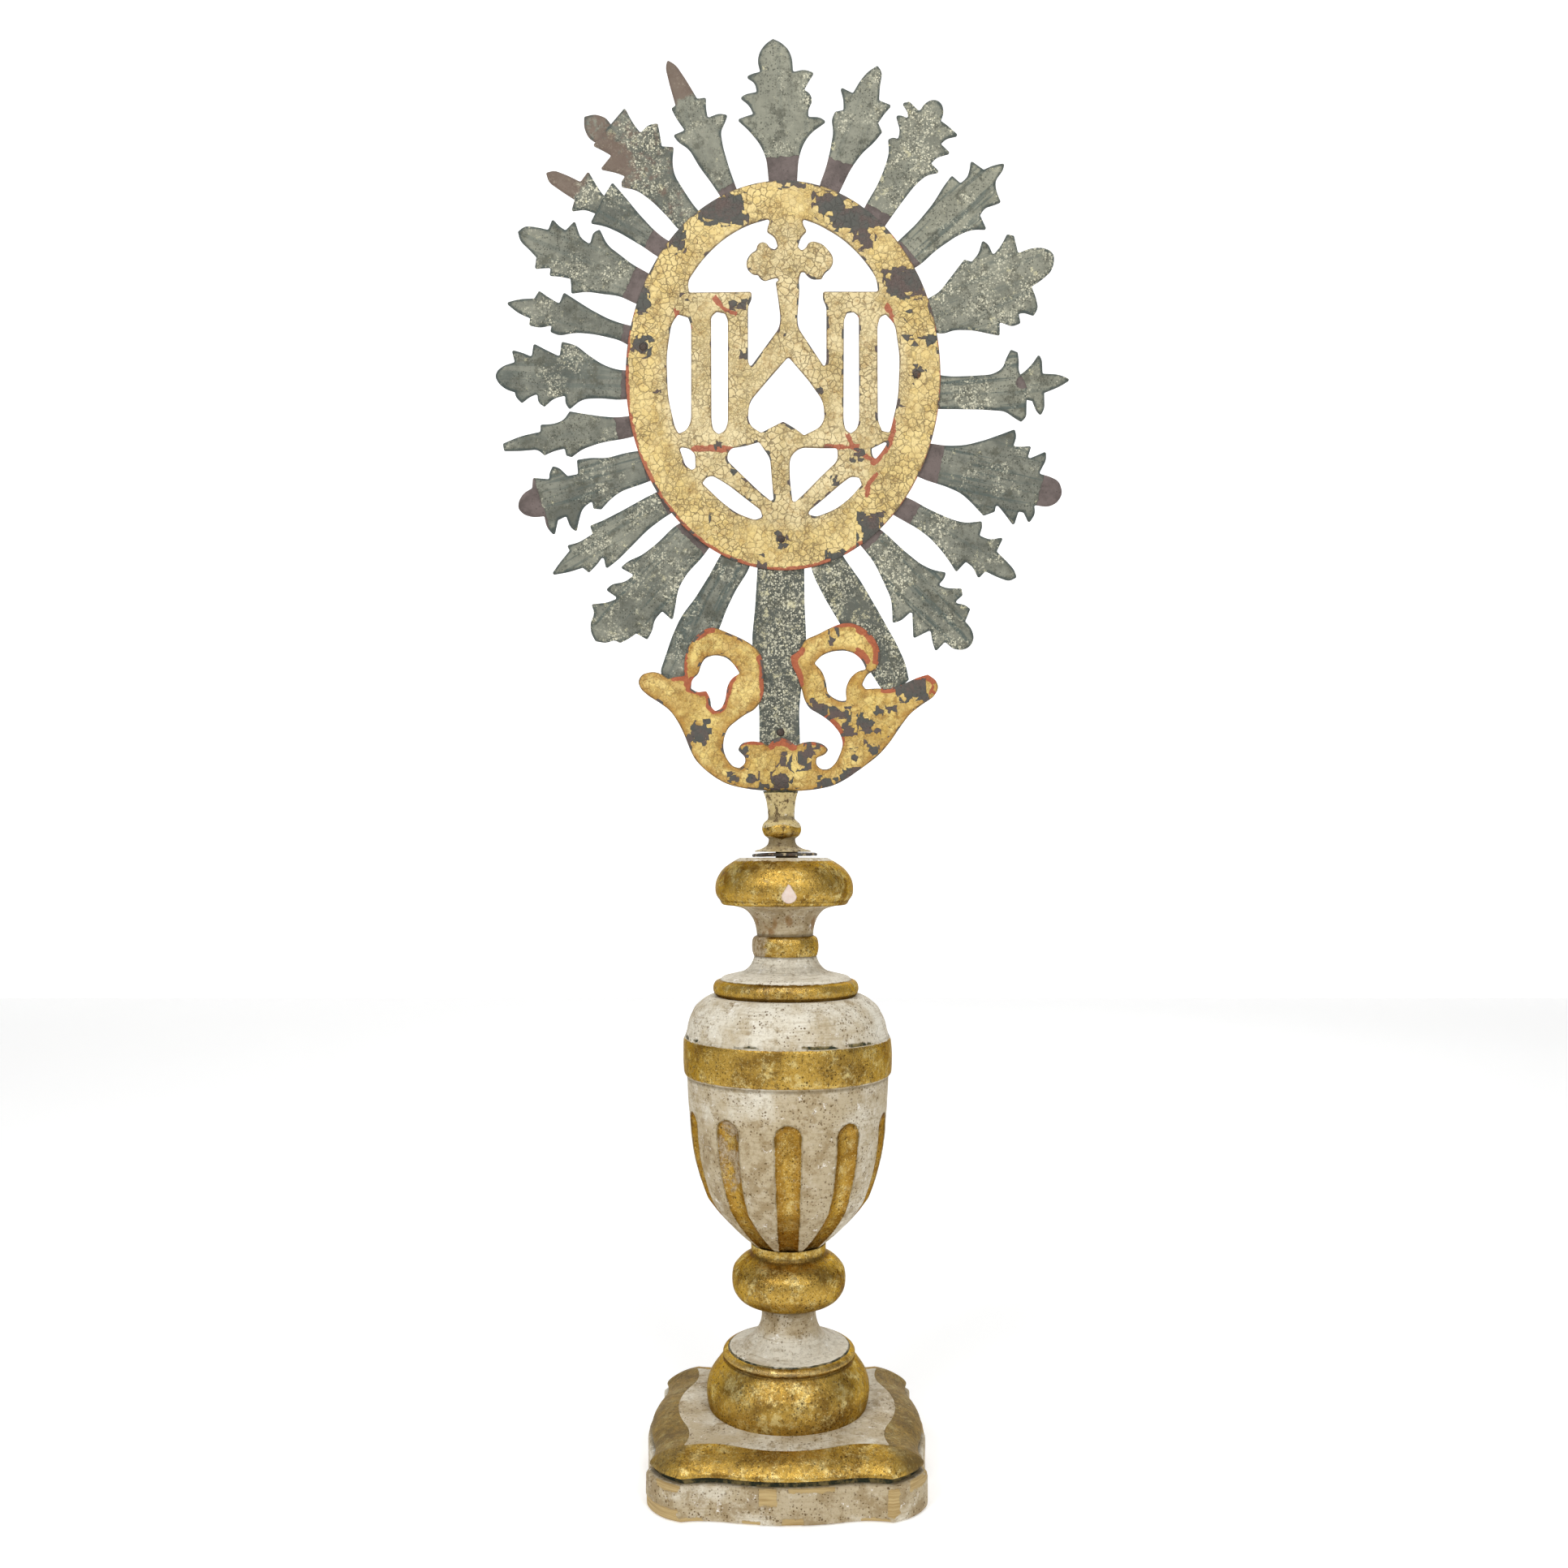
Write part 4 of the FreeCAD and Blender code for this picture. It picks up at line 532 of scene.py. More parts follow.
def flute(angle, radius, height):
    """How far inside a flute of the urn a point lies, in millimetres, and how deep it is cut there."""
    turn = 2 * math.pi / FLUTES
    offset = (angle + math.pi / 2 + turn / 2) % turn - turn / 2
    sideways = radius * offset
    number = round((angle + math.pi / 2 - offset) / turn) % FLUTES
    top = top_of_flute(number)
    share = clamp((height - FLUTE_FOOT) / (top - FLUTE_FOOT))
    half = 5.3 + 1.7 * share + 0.25 * drift(number * 7, height, 0, 18)
    inside = half - math.hypot(sideways, max(0.0, height - top))
    depth = (1.3 + 1.4 * share) * (1 - clamp(1 - inside / half) ** 2.2) if inside > 0 else 0.0
    return inside, depth, number


def look_of_bowl(angle, radius, height):
    """Gilt flutes and band, with painted shade along the flute rims and gold that deepens towards each
    flute's sides as painted shade; one flute at the right is worn, and the lower left is soiled.
    """
    inside, depth, number = flute(angle, radius, height)
    band = min(height - BAND_FOOT, BAND_TOP - height)
    # the gold deepens inside the flutes, most towards each flute's sides as painted shade
    rich = ease(inside, -0.5, 0.5) * (1 - 0.6 * ease(inside, 1.5, 5.0))
    values = {"gold": max(inside - 0.1, band), "rich": rich, "cut": -depth}
    if number == 9 and inside > 0:
        values["worn"] = 0.52 * ease(height, 138, 165)
    # painted shade: a dark line along each flute's rim, through the hollow value
    if -0.5 < inside < 1.1 and height > 120:
        values["rim"] = 0.55 if height > top_of_flute(number) - 4 else 0.42
    lower_left = ease(-math.sin(angle) - 0.6 * math.cos(angle), 0.1, 0.9)
    values["soil"] = 0.9 * ease(196 - height, 0, 20) * lower_left
    return values


def look_of_lid(angle, radius, height):
    return {"gold": 255.9 - height if radius > 30 else CREAM, "soil": -0.9}


def look_of_ring(angle, radius, height):
    return {"gold": FULL, "worn": 0.85 * ease(-math.cos(angle), 0.25, 0.75)}


def look_of_spool(angle, radius, height):
    spots = drift(angle * 3.2, height / 9, 0.0, 1.0, 4.0)
    return {"stain": ease(spots, -0.1, 0.5) * ease(294 - height, 0, 8), "soil": 1.0}


def look_of_knop(angle, radius, height):
    """Gilt up to where the collar lies, with a drop-shaped loss at the front and painted shade along its
    lower rim.
    """
    side = radius * ((angle - math.pi / 2) % (2 * math.pi) - math.pi) - 2.4
    rise = height - 301.6
    loss = 4.1 - (math.hypot(side, rise) if rise < 0 else abs(side) + 0.6 * rise)
    cut = 0.7 * ease(loss, 0, 1.4) if abs(side) < 9 else 0.0
    # rim gives painted shade along the knop's lower edge
    return {"gold": 319.2 - height, "loss": loss if abs(side) < 12 else OUTSIDE, "cut": -cut,
            "rim": 0.45 * (height < 298.3)}


def look_of_stem(angle, radius, height):
    # the stem's top, just under the sunburst's plate, is darkened as painted shadow
    bead = min(height - 331.6, 337.6 - height) + 0.8 * math.sin(angle * 3)
    chips = 1.0 if height < 331 or height > 340 or 333 < height < 339 else 0.7
    return {"gold": bead, "soil": 0.8, "stain": 0.2, "warm": 0.45 + 0.45 * ease(height, 328, 338),
            "chips": chips, "dark": 0.9 if height > 355.6 else 0.0}


def look_of_shoulder(angle, radius, height):
    """White scuffs, and dark chips where it meets the band."""
    knocked = ease(drift(angle * 7, height / 4, 0.0, 1.0, 2.0), -0.05, 0.25)
    return {"soil": -0.2, "dark": 0.95 * knocked * ease(227.6 - height, 0, 0.8)}


def look_of_foot(angle, radius, height):
    """Painted shade in the gap below, then cream that grows blotchier and darker higher up."""
    return {"soil": ease(height, 64, 74) * 1.6 - 0.9, "dark": 0.75 if height < 60.0 else 0.0}


LOOKS = {"foot_spool": look_of_foot, "urn_bowl": look_of_bowl, "urn_shoulder": look_of_shoulder,
         "lid": look_of_lid, "neck_ring": look_of_ring, "knop_spool": look_of_spool,
         "knop": look_of_knop, "stem": look_of_stem}


def turn_piece(node, around):
    """Closed lathe mesh of one section, a little uneven, with its wear as vertex values."""
    outside = [(r, z, d, True) for (r, z), d in zip(PROFILES[node], DEPTHS[node])]
    foot, top = outside[0][1], outside[-1][1]
    bored = node in ("knop", "knop_spool")
    rings = outside
    if node == "stem":
        rings = [(r, z, 0.0, False) for r, z in soften(profile(TENON, 2.0), 1)] + outside
    elif bored:
        wall = [(BORE, top - (top - foot) * i / 8, 0.0, False) for i in range(9)]
        rings = outside + [(BORE + 0.5, top, 0.3, False)] + wall + [(BORE + 2, foot, 0.0, False)]
    verts, wears = [], []
    seed = sum(map(ord, node)) % 17
    for radius, height, depth, worked in rings:
        shift = lean(height)
        if bored:
            shift *= clamp((radius - BORE - 0.6) / 4)
        elif node == "stem" and not worked:
            shift = 0.0
        for i in range(around):
            angle = 2 * math.pi * i / around
            x, y = math.cos(angle), math.sin(angle)
            given, uneven = {"raw": FULL}, 0.0
            if worked:
                given = LOOKS[node](angle, radius, height) if node in LOOKS else {"gold": FULL}
                uneven = (0.22 * drift(x * radius, y * radius, height, 26, seed)
                          + 0.09 * drift(x * radius, y * radius, height, 5.5, seed))
            reach = radius + given.pop("cut", 0.0) + uneven
            verts.append((x * reach + shift, y * reach, height))
            # hollow holds the profile's depth plus any rim of painted shade; the finish darkens it with
            # painted shade and grime
            wears.append({"gold": CREAM, "loss": OUTSIDE, "raw": OUTSIDE,
                          "hollow": 1.1 * depth + given.pop("rim", 0.0), **given})
    make_piece(node, verts, skin(len(rings), around, closed=bored), WOOD, wears, 50)


for label in TURNED:
    turn_piece(label, 320 if label == "urn_bowl" else 224)


# ---------------------------------------------------------------- plinth
SLAB_TOP, GROOVE_TOP, MOULDING_TOP = 17.2, 20.0, 29.5
# The plinth reaches this much further forward than back, and is this much less deep than wide.
FORWARD, DEPTH = 3.8, 0.95
SLAB_ROUND = 560


def serpentine(near, far, bulge, hollow, swell):
    """Plan of a board with cut-off corners and swelling sides, anticlockwise from the front left."""
    half = 0.51 * near
    meet = hollow + 0.35 * (bulge - hollow)
    dip = 0.5 * (far + meet) - hollow
    side = [(-near, -far, swell), (-half, -meet, -dip), (half, -meet, bulge - meet), (near, -far, -dip)]
    stations = []
    for quarter in range(4):
        for x, y, bow in side:
            for _ in range(quarter):
                x, y = -y, x
            stations.append((x, y * DEPTH - FORWARD, bow))
    points = []
    for i, (x, y, bow) in enumerate(stations):
        points += arc(stations[i - 1][:2], (x, y), bow, (12, 22, 32, 22)[i % 4])
    return points


def inset(plan, amount, reach=2):
    """Move every point of a closed anticlockwise plan inwards."""
    moved = []
    for i, (x, y) in enumerate(plan):
        before, after = plan[i - reach], plan[(i + reach) % len(plan)]
        run = math.dist(before, after) or 1.0
        moved.append((x - (after[1] - before[1]) / run * amount, y + (after[0] - before[0]) / run * amount))
    return moved


def loft(node, levels):
    """Closed mesh through (plan, height, wear) levels, uneven by a fraction of a millimetre."""
    around = len(levels[0][0])
    verts, wears = [], []
    for plan, height, given in levels:
        for number, (x, y) in enumerate(plan):
            wear = {"gold": CREAM, "raw": OUTSIDE, "loss": OUTSIDE, **given}
            push = 0.22 * drift(x, y, height, 21, 3.0) + 0.1 * drift(x, y, height, 4.5, 5.0)
            if wear.pop("chipped", False):
                wear["raw"] = raw_wood(number / around, x, y, height)
                wear["soil"] = 0.9 + 2.0 * drift(x, y, height, 13, 6.0)
                push -= 0.35 * ease(wear["raw"], -0.2, 0.8)
            # the gold on the plinth's left and right sides is darker and duller: painted shade with some
            # tarnish
            if wear["gold"] > 0:
                wear["tarnish"] = 0.75 * ease(abs(x) - abs(y + FORWARD) * DEPTH, -6, 6)
            size = math.hypot(x, y) or 1.0
            low = 0.15 * drift(x, y, 0.0, 30, 8.0) if 0.2 < height < MOULDING_TOP - 0.1 else 0.0
            verts.append((x + x / size * push, y + y / size * push, max(0.0, height + low)))
            wears.append(wear)
    make_piece(node, verts, skin(len(levels), around), WOOD, wears, 55)


# Places on the slab where its paint is gone: front ones by x and height, others by share of the way round.
FRONT_CHIPS = [(-71, -53, -1, 6.0), (-55, -41, -1, 2.2), (-22, -13, -1, 2.0), (-2, 8, -1, 3.4),
               (36, 50, -1, 1.8), (-13.5, -4.6, 9.5, 17.5), (1, 24, 15.6, 18), (49, 55, 2.5, 16),
               (-64, -52, 14.6, 18), (60, 68, 13, 18)]
CHIPS = random.Random(11)
ROUND_CHIPS = []
for _ in range(20):
    start = CHIPS.uniform(0.24, 0.96)
    low = CHIPS.choice((-1.0, -1.0, 9.0, 14.5))
    end = start + CHIPS.uniform(0.006, 0.03)
    ROUND_CHIPS.append((start * SLAB_ROUND, end * SLAB_ROUND, low, low + CHIPS.uniform(2.5, 6.5)))


def inside_boxes(boxes, x, z):
    """Distance inside the nearest of the boxes (left, right, bottom, top); below 0 is outside."""
    return max(min(x - left, right - x, z - low, high - z) for left, right, low, high in boxes)


def raw_wood(share, x, y, height):
    """Distance in millimetres inside the nearest flaked place; below 0 is outside."""
    nearest = max(OUTSIDE, inside_boxes(ROUND_CHIPS, share * SLAB_ROUND, height))
    return max(nearest, inside_boxes(FRONT_CHIPS, x, height)) if y < -48 else nearest


def make_slab():
    edge = serpentine(51.5, 69.9, 73.2, 68.6, 3.0)
    levels = [(inset(edge, 9.0), 0.0, {})]
    steps = [(0.7, 0.0, -0.1), (0.25, 0.25, -0.35)]
    for i in range(16):
        end = i in (0, 15)
        steps.append((0.15 if end else 0.0, 1.0 + 15.4 * i / 15, -0.4 if end else 0.0))
    steps += [(0.5, SLAB_TOP - 0.2, -0.45), (1.2, SLAB_TOP, 0.1)]
    for amount, height, hollow in steps:
        levels.append((inset(edge, amount), height, {"chipped": True, "hollow": hollow}))
    # the slab's top beside the moulding is darkened through hollow as painted shade
    levels += [(inset(edge, 4.5), SLAB_TOP, {"hollow": 0.9}), (inset(edge, 12.0), SLAB_TOP, {})]
    loft("plinth_slab", levels)


def make_moulding():
    """Gilt ovolo over a groove darkened as painted shade, from the wavy outer edge up to the plain inner one;
    painted shade also fades up from the ovolo's foot.
    """
    outer = serpentine(51.0, 68.0, 71.3, 66.4, 2.2)
    inner = serpentine(50.4, 51.0, 57.6, 49.4, 0.1)
    recess = serpentine(49.2, 66.2, 69.5, 64.6, 2.2)
    levels = [(inset(recess, 9.0), SLAB_TOP, {})]
    # painted shade in the groove under the ovolo
    levels += [(recess, height, {"dark": 1.0}) for height in (SLAB_TOP, 18.2, 19.3)]
    levels += [(inset(outer, 0.9), GROOVE_TOP, {"dark": 0.9, "gold": 1.0}),
               (inset(outer, 0.25), GROOVE_TOP + 0.15, {"dark": 0.4, "gold": FULL, "hollow": -0.4})]
    ramp = [(0.0, 0.0), (0.015, 0.2), (0.16, 0.46), (0.42, 0.72), (0.75, 0.9), (1.0, 1.0)]
    for i in range(1, 26):
        first = min(4, i // 5)
        share = i / 5 - first
        hull = [ramp[max(0, first - 1)], ramp[first], ramp[first + 1], ramp[min(5, first + 2)]]
        inward, upward = (0.5 * (2 * b + (c - a) * share + (2 * a - 5 * b + 4 * c - d) * share ** 2
                                 + (3 * b - a - 3 * c + d) * share ** 3) for a, b, c, d in zip(*hull))
        plan = [(a[0] + (b[0] - a[0]) * inward, a[1] + (b[1] - a[1]) * inward) for a, b in zip(outer, inner)]
        # painted shade at the foot of the ovolo, fading upward
        given = {"gold": FULL if i < 24 else 25.4 - i, "dark": 0.35 * ease(0.12 - upward, 0.0, 0.12)}
        levels.append((plan, GROOVE_TOP + (MOULDING_TOP - GROOVE_TOP) * min(1.0, upward), given))
    for amount in (1.0, 3.0, 6.5):
        left = 1 - amount / 55
        plan = [(x * left, (y + FORWARD) * left - FORWARD) for x, y in inner]
        levels.append((plan, MOULDING_TOP, {}))
    loft("plinth_moulding", levels)


make_slab()
make_moulding()


# ---------------------------------------------------------------- sheet metal
def outline_loops(node):
    """Closed loops (x, z) in millimetres round the front face of a sheet's CAD solid."""
    mesh = frame["nodes"][node].data
    points = [tuple(v.co) for v in mesh.vertices]
    front = min(p[1] for p in points) + 2e-5
    edges = set()
    for face in mesh.polygons:
        ring = [points[i] for i in face.vertices]
        if all(p[1] < front for p in ring):
            flat = [(round(p[0] * 1000, 4), round(p[2] * 1000, 4)) for p in ring]
            for a, b in zip(flat, flat[1:] + flat[:1]):
                if (b, a) in edges:
                    edges.remove((b, a))
                else:
                    edges.add((a, b))
    following = dict(edges)
    loops = []
    while following:
        start, here = following.popitem()
        loop = [start]
        while here != start:
            loop.append(here)
            here = following.pop(here)
        loops.append(loop)
    return sorted(loops, key=len, reverse=True)


def respace(loop, least, most):
    """Thin out the points of an outline that lie close together, and split its long edges."""
    kept = [loop[0]]
    for point in loop[1:]:
        if math.dist(point, kept[-1]) >= least and math.dist(point, loop[0]) >= least:
            kept.append(point)
    spaced = []
    for a, b in zip(kept, kept[1:] + kept[:1]):
        count = max(1, math.ceil(math.dist(a, b) / most))
        spaced += [(a[0] + (b[0] - a[0]) * i / count, a[1] + (b[1] - a[1]) * i / count) for i in range(count)]
    return spaced


def survey(points, starts, ends):
    """Whether each point is inside the outline, and how far it is from its edge."""
    inside = np.zeros(len(points), bool)
    nearest = np.full(len(points), 1e9)
    for (ax, az), (bx, bz) in zip(starts, ends):
        run = np.array((bx - ax, bz - az))
        share = np.clip(((points - (ax, az)) @ run) / (run @ run), 0, 1)
        gap = np.hypot(points[:, 0] - ax - share * run[0], points[:, 1] - az - share * run[1])
        nearest = np.minimum(nearest, gap)
        if az != bz:
            crossed = (az > points[:, 1]) != (bz > points[:, 1])
            at = ax + (points[:, 1] - az) / (bz - az) * (bx - ax)
            inside ^= crossed & (points[:, 0] < at)
    return inside, nearest


def make_sheet(node, front, thick, material, look, spacing=1.6):
    """Closed sheet mesh over a CAD outline; look gives its bend and wear at each point."""
    loops = [respace(loop, 0.3, 1.3) for loop in outline_loops(node)]
    starts = [p for loop in loops for p in loop]
    ends = [p for loop in loops for p in loop[1:] + loop[:1]]
    corner = np.array(starts)
    low, high = corner.min(axis=0), corner.max(axis=0)
    grid = []
    rows = int((high[1] - low[1]) / (spacing * 0.87)) + 1
    for row in range(rows):
        offset = spacing / 2 * (row % 2)
        for column in range(int((high[0] - low[0]) / spacing) + 1):
            grid.append((low[0] + offset + column * spacing, low[1] + row * spacing * 0.87))
    grid = np.array(grid)
    inside, gap = survey(grid, starts, ends)
    ledge = np.array([point for loop in loops for point in inset(loop, 0.45, 1)])
    ledge_inside, ledge_gap = survey(ledge, starts, ends)
    ledge = ledge[ledge_inside & (ledge_gap > 0.38)]
    points = starts + [tuple(p) for p in ledge] + [tuple(p) for p in grid[inside & (gap > 1.1)]]
    links, first = [], 0
    for loop in loops:
        links += [(first + i, first + (i + 1) % len(loop)) for i in range(len(loop))]
        first += len(loop)
    made = delaunay_2d_cdt([Vector(p) for p in points], links, [], 0, 1e-5)
    flat = np.array([tuple(v) for v in made[0]])
    triangles = np.array([t for t in made[2] if len(t) == 3])
    middle_inside, _ = survey(flat[triangles].mean(axis=1), starts, ends)
    turned = []
    for a, b, c in triangles[middle_inside].tolist():
        area = ((flat[b][0] - flat[a][0]) * (flat[c][1] - flat[a][1])
                - (flat[c][0] - flat[a][0]) * (flat[b][1] - flat[a][1]))
        turned.append((a, b, c) if area > 0 else (a, c, b))
    used, turned = np.unique(turned, return_inverse=True)
    turned = turned.reshape(-1, 3).tolist()
    flat = flat[used]
    _, gap = survey(flat, starts, ends)
    verts, wears = [], []
    count = len(flat)
    for back in (0, 1):
        for (x, z), edge in zip(flat.tolist(), gap.tolist()):
            bend, given = look(x, z, edge)
            rounding = 0.22 * (1 - ease(edge, 0.0, 0.42))
            verts.append((x, front + bend + (thick - rounding if back else rounding), z))
            wears.append({"bare": OUTSIDE, "red": OUTSIDE, "edge": min(edge, 12.0), "back": back, **given})
    faces = turned + [(c + count, b + count, a + count) for a, b, c in turned]
    border = {}
    for a, b, c in turned:
        for start, end in ((a, b), (b, c), (c, a)):
            if border.pop((end, start), None) is None:
                border[(start, end)] = True
    faces += [(b, a, a + count, b + count) for a, b in border]
    make_piece(node, verts, faces, material, wears, 42)


# Rays: angle of the axis with +X and its root (x, height) on the oval, where along it bare metal ends near
# the root and begins near the tip (99 is nowhere), how far the tip bends, then shares of streaks, of extra
# cream flecks and of rust.
RAYS = {
    "ray_01": (93.9, (0.0, 683.0), 14.0, 99, -0.9, 0.2, 0.2, 0.0),
    "ray_02": (71.9, (28.3, 678.6), 16.0, 99, -0.9, 0.3, 0.4, 0.1),
    "ray_03": (61.8, (50.1, 665.6), 3.0, 99, 0.6, 0.2, 1.0, 0.1),
    "ray_04": (42.5, (66.6, 646.0), 1.0, 99, 1.2, 0.8, 0.2, 0.1),
    "ray_05": (21.8, (79.7, 616.4), -2.0, 99, -1.0, 0.5, 0.9, 0.0),
    "ray_06": (5.7, (84.9, 571.1), -2.0, 41, 0.7, 0.9, 0.2, 0.0),
    "ray_07": (-12.3, (79.7, 532.8), 5.0, 60, -0.8, 0.9, 0.2, 0.0),
    "ray_08": (-28.0, (60.9, 505.8), 9.0, 99, 0.9, 0.4, 0.6, 0.1),
    "ray_09": (-45.7, (47.9, 489.3), 0.0, 99, -0.6, 0.9, 0.7, 0.0),
    "ray_10": (-63.4, (28.3, 480.6), -3.0, 99, 0.0, 0.3, 1.3, 0.0),
    "ray_11": (-116.6, (-26.1, 480.6), -3.0, 99, 0.0, 0.9, 0.2, 0.0),
    "ray_12": (-133.7, (-50.9, 489.3), -2.0, 99, 0.7, 0.9, 0.7, 0.0),
    "ray_13": (-149.3, (-65.3, 507.6), -2.0, 99, -0.8, 0.6, 0.6, 0.1),
    "ray_14": (-163.3, (-76.2, 528.5), -2.0, 56, 0.9, 0.8, 0.2, 0.1),
    "ray_15": (-169.3, (-84.9, 553.7), 5.0, 99, -0.7, 0.3, 0.2, 0.1),
    "ray_16": (178.2, (-85.8, 576.3), 1.0, 99, 0.8, 0.5, 0.2, 0.1),
    "ray_17": (168.6, (-82.7, 604.6), 3.0, 99, -0.6, 0.3, 0.2, 0.1),
    "ray_18": (155.7, (-74.0, 626.4), 9.0, 99, 1.0, 0.4, 0.3, 0.0),
    "ray_19": (150.7, (-58.8, 650.3), 13.0, 99, -0.5, 0.6, 0.2, 0.0),
    "ray_20": (138.4, (-47.9, 665.6), -1.0, 99, 0.8, 0.3, 1.0, 0.35),
    "ray_21": (116.4, (-26.1, 676.5), 6.0, 99, -0.9, 0.3, 0.4, 0.2),
    "ray_06_end": (5.7, (84.9, 571.1), -20.0, 99, 0.7, 0.4, 0.4, 0.0),
    "ray_19_end": (150.7, (-58.8, 650.3), -20.0, 99, -0.5, 0.2, 0.6, 0.2),
    "ray_20_end": (138.4, (-47.9, 665.6), -20.0, 99, 0.8, 0.2, 0.3, 0.62),
}
# The sunburst stands this far to the left of the urn.
OFFSET = -2.0


def look_of_ray(label):
    angle, root, root_end, tip_start, bend, streak, fleck, rust = RAYS[label]
    turn = math.radians(angle)
    tone = (sum(map(ord, label)) * 37 % 100) / 100 * 0.35 + 0.4 * ease(root[1] + root[0], 560, 720)

    def look(x, z, edge):
        dx, dz = x - OFFSET - root[0], z - root[1]
        along = dx * math.cos(turn) + dz * math.sin(turn)
        across = dz * math.cos(turn) - dx * math.sin(turn)
        bare = max(root_end - along, along - tip_start)
        if label == "ray_06":
            bare = max(root_end - along, 3.4 - math.hypot(along - 43.6, across - 0.6))
        browned = rust
        if label in ("ray_21", "ray_19_end"):
            browned = max(rust, ease(along, 52, 64))
        if label == "ray_20":
            browned = rust + 0.6 * ease(along, 30, 52) * ease(across, -8, 6)
        reach = max(0.0, along - 4) / 60
        dent = 0.35 * drift(x, 0.0, z, 24, 6.0) * clamp(reach * 2)
        vein = 0.28 * math.cos(across * 0.62) * ease(along, 4, 18) * ease(edge, 0.6, 3.5)
        return 0.55 * bend * reach ** 2 + dent + vein * streak, {
            "bare": bare, "tone": tone, "streak": streak, "fleck": fleck, "rust": browned,
            "along": along, "across": across}
    return look


# Flaked places of the pierced oval: (left, right, bottom, top) in the sunburst's own millimetres.
OVAL_BARE = [(-46, -20, 660, 677), (-62, -52, 645, 660), (-6, 13, 680, 690), (17, 34, 664, 677),
             (24, 58, 656, 671), (38, 48, 646, 660), (54, 77, 621, 637), (63, 84, 596.5, 601),
             (-84, -71, 612, 628), (41, 54, 486, 506), (24, 40, 477, 485), (-54, -46, 618, 622),
             (-29, -20, 614, 620), (37, 42, 534, 539), (25, 30, 520, 526), (-12, -8, 534, 538),
             (-36, -33, 540, 545), (-40, -36, 500, 505), (-22, -19, 588, 592), (-4, 0, 602, 607),
             (17, 20, 566, 572), (-27, -23, 524, 528), (-70, -66, 570, 572), (-14, -10, 476, 484)]
# Worn round places at the rivets and two more: x, height, radius.
OVAL_SPOTS = [(-75.0, 594.8, 5.2), (71.8, 579.8, 3.8), (-0.9, 491.5, 3.6), (68, 611, 1.6), (64, 566, 1.8)]
# Red ground showing in boxes, and in curved strokes below.
OVAL_RED = [(-49, -27, 538.4, 541.6), (22, 41, 539.4, 542.4)]
# Curved red strokes: centre, radius, first and last angle in degrees, half width.
OVAL_STROKES = [(-48, 614, 9, 170, 265, 0.9), (-22, 628, 16, 200, 262, 0.9), (74, 592, 39, 150, 186, 0.8),
                (48, 610, 10, -60, 50, 1.1), (36, 552, 23, -62, 28, 1.0), (52, 552, 18, 190, 262, 0.8),
                (58, 516, 13, 120, 190, 1.0)]


def look_of_oval(x, z, edge):
    px = x - OFFSET
    bare = inside_boxes(OVAL_BARE, px, z) - 0.6
    for sx, sz, radius in OVAL_SPOTS:
        bare = max(bare, radius - math.hypot(px - sx, z - sz) - 0.3)
    oval = math.hypot(px / 84.4, (z - 579.4) / 104.5)
    low_left = ease(-px * 0.6 - (z - 560) * 0.8, -10, 40)
    red = inside_boxes(OVAL_RED, px, z)
    for cx, cz, radius, first, last, half in OVAL_STROKES:
        way = math.degrees(math.atan2(z - cz, px - cx)) % 360
        if (way - first) % 360 < last - first:
            red = max(red, half + 0.4 - abs(math.hypot(px - cx, z - cz) - radius))
    if oval > 0.95:
        red = max(red, (2.0 * low_left if px < 45 else 0.6) - edge - 0.35)
    bend = 0.3 * drift(x, 0.0, z, 42, 9.0) + 0.1 * drift(x, 0.0, z, 9, 2.0)
    return bend * ease(oval, 0.0, 0.6), {"bare": bare, "red": red, "golden": 0.85 * ease(oval, 0.74, 0.84)}


# The same for the scroll bracket; a red box colours its outline as far in as its fifth number.
BRACKET_BARE = [(-50, -40, 380, 394), (16, 26, 394, 405), (24, 36, 394, 401), (30, 38, 386, 391),
                (40, 48, 388, 397), (62, 78, 404, 417), (-3, 3, 368, 376), (-6, 5, 356, 366),
                (20, 30, 356, 364), (-20, -13, 361, 367), (9, 14, 369, 377), (32, 35, 358, 366),
                (36, 40, 372, 379), (46, 50, 376, 380), (34, 43, 365, 369), (12, 20, 378, 384),
                (50, 54, 398, 402), (-14, -9, 357, 359), (52, 56, 386, 389), (45, 48, 380, 384),
                (-24, -20, 376, 383), (56, 59, 398, 401), (-29, -24, 362, 365), (26, 28, 436, 442)]
BRACKET_RED = [(-54, -50.4, 412, 436, 2.4), (-60, -44, 408, 419, 1.8), (-16, -9, 410, 430, 1.8),
               (-13, -9, 404, 416, 2.2), (-52, -36, 436, 446, 2.0), (-46, -28, 394, 412, 1.6),
               (3, 12, 412, 430, 2.6), (38, 54, 424, 446, 3.0), (26, 44, 444, 448, 2.4),
               (52, 82, 408, 420, 2.4), (10, 34, 380, 402, 1.5), (-8, 8, 376, 386, 2.6),
               (4, 14, 426, 434, 2.0), (-30, -24, 406, 424, 1.6), (-24, -10, 380, 384, 1.2)]


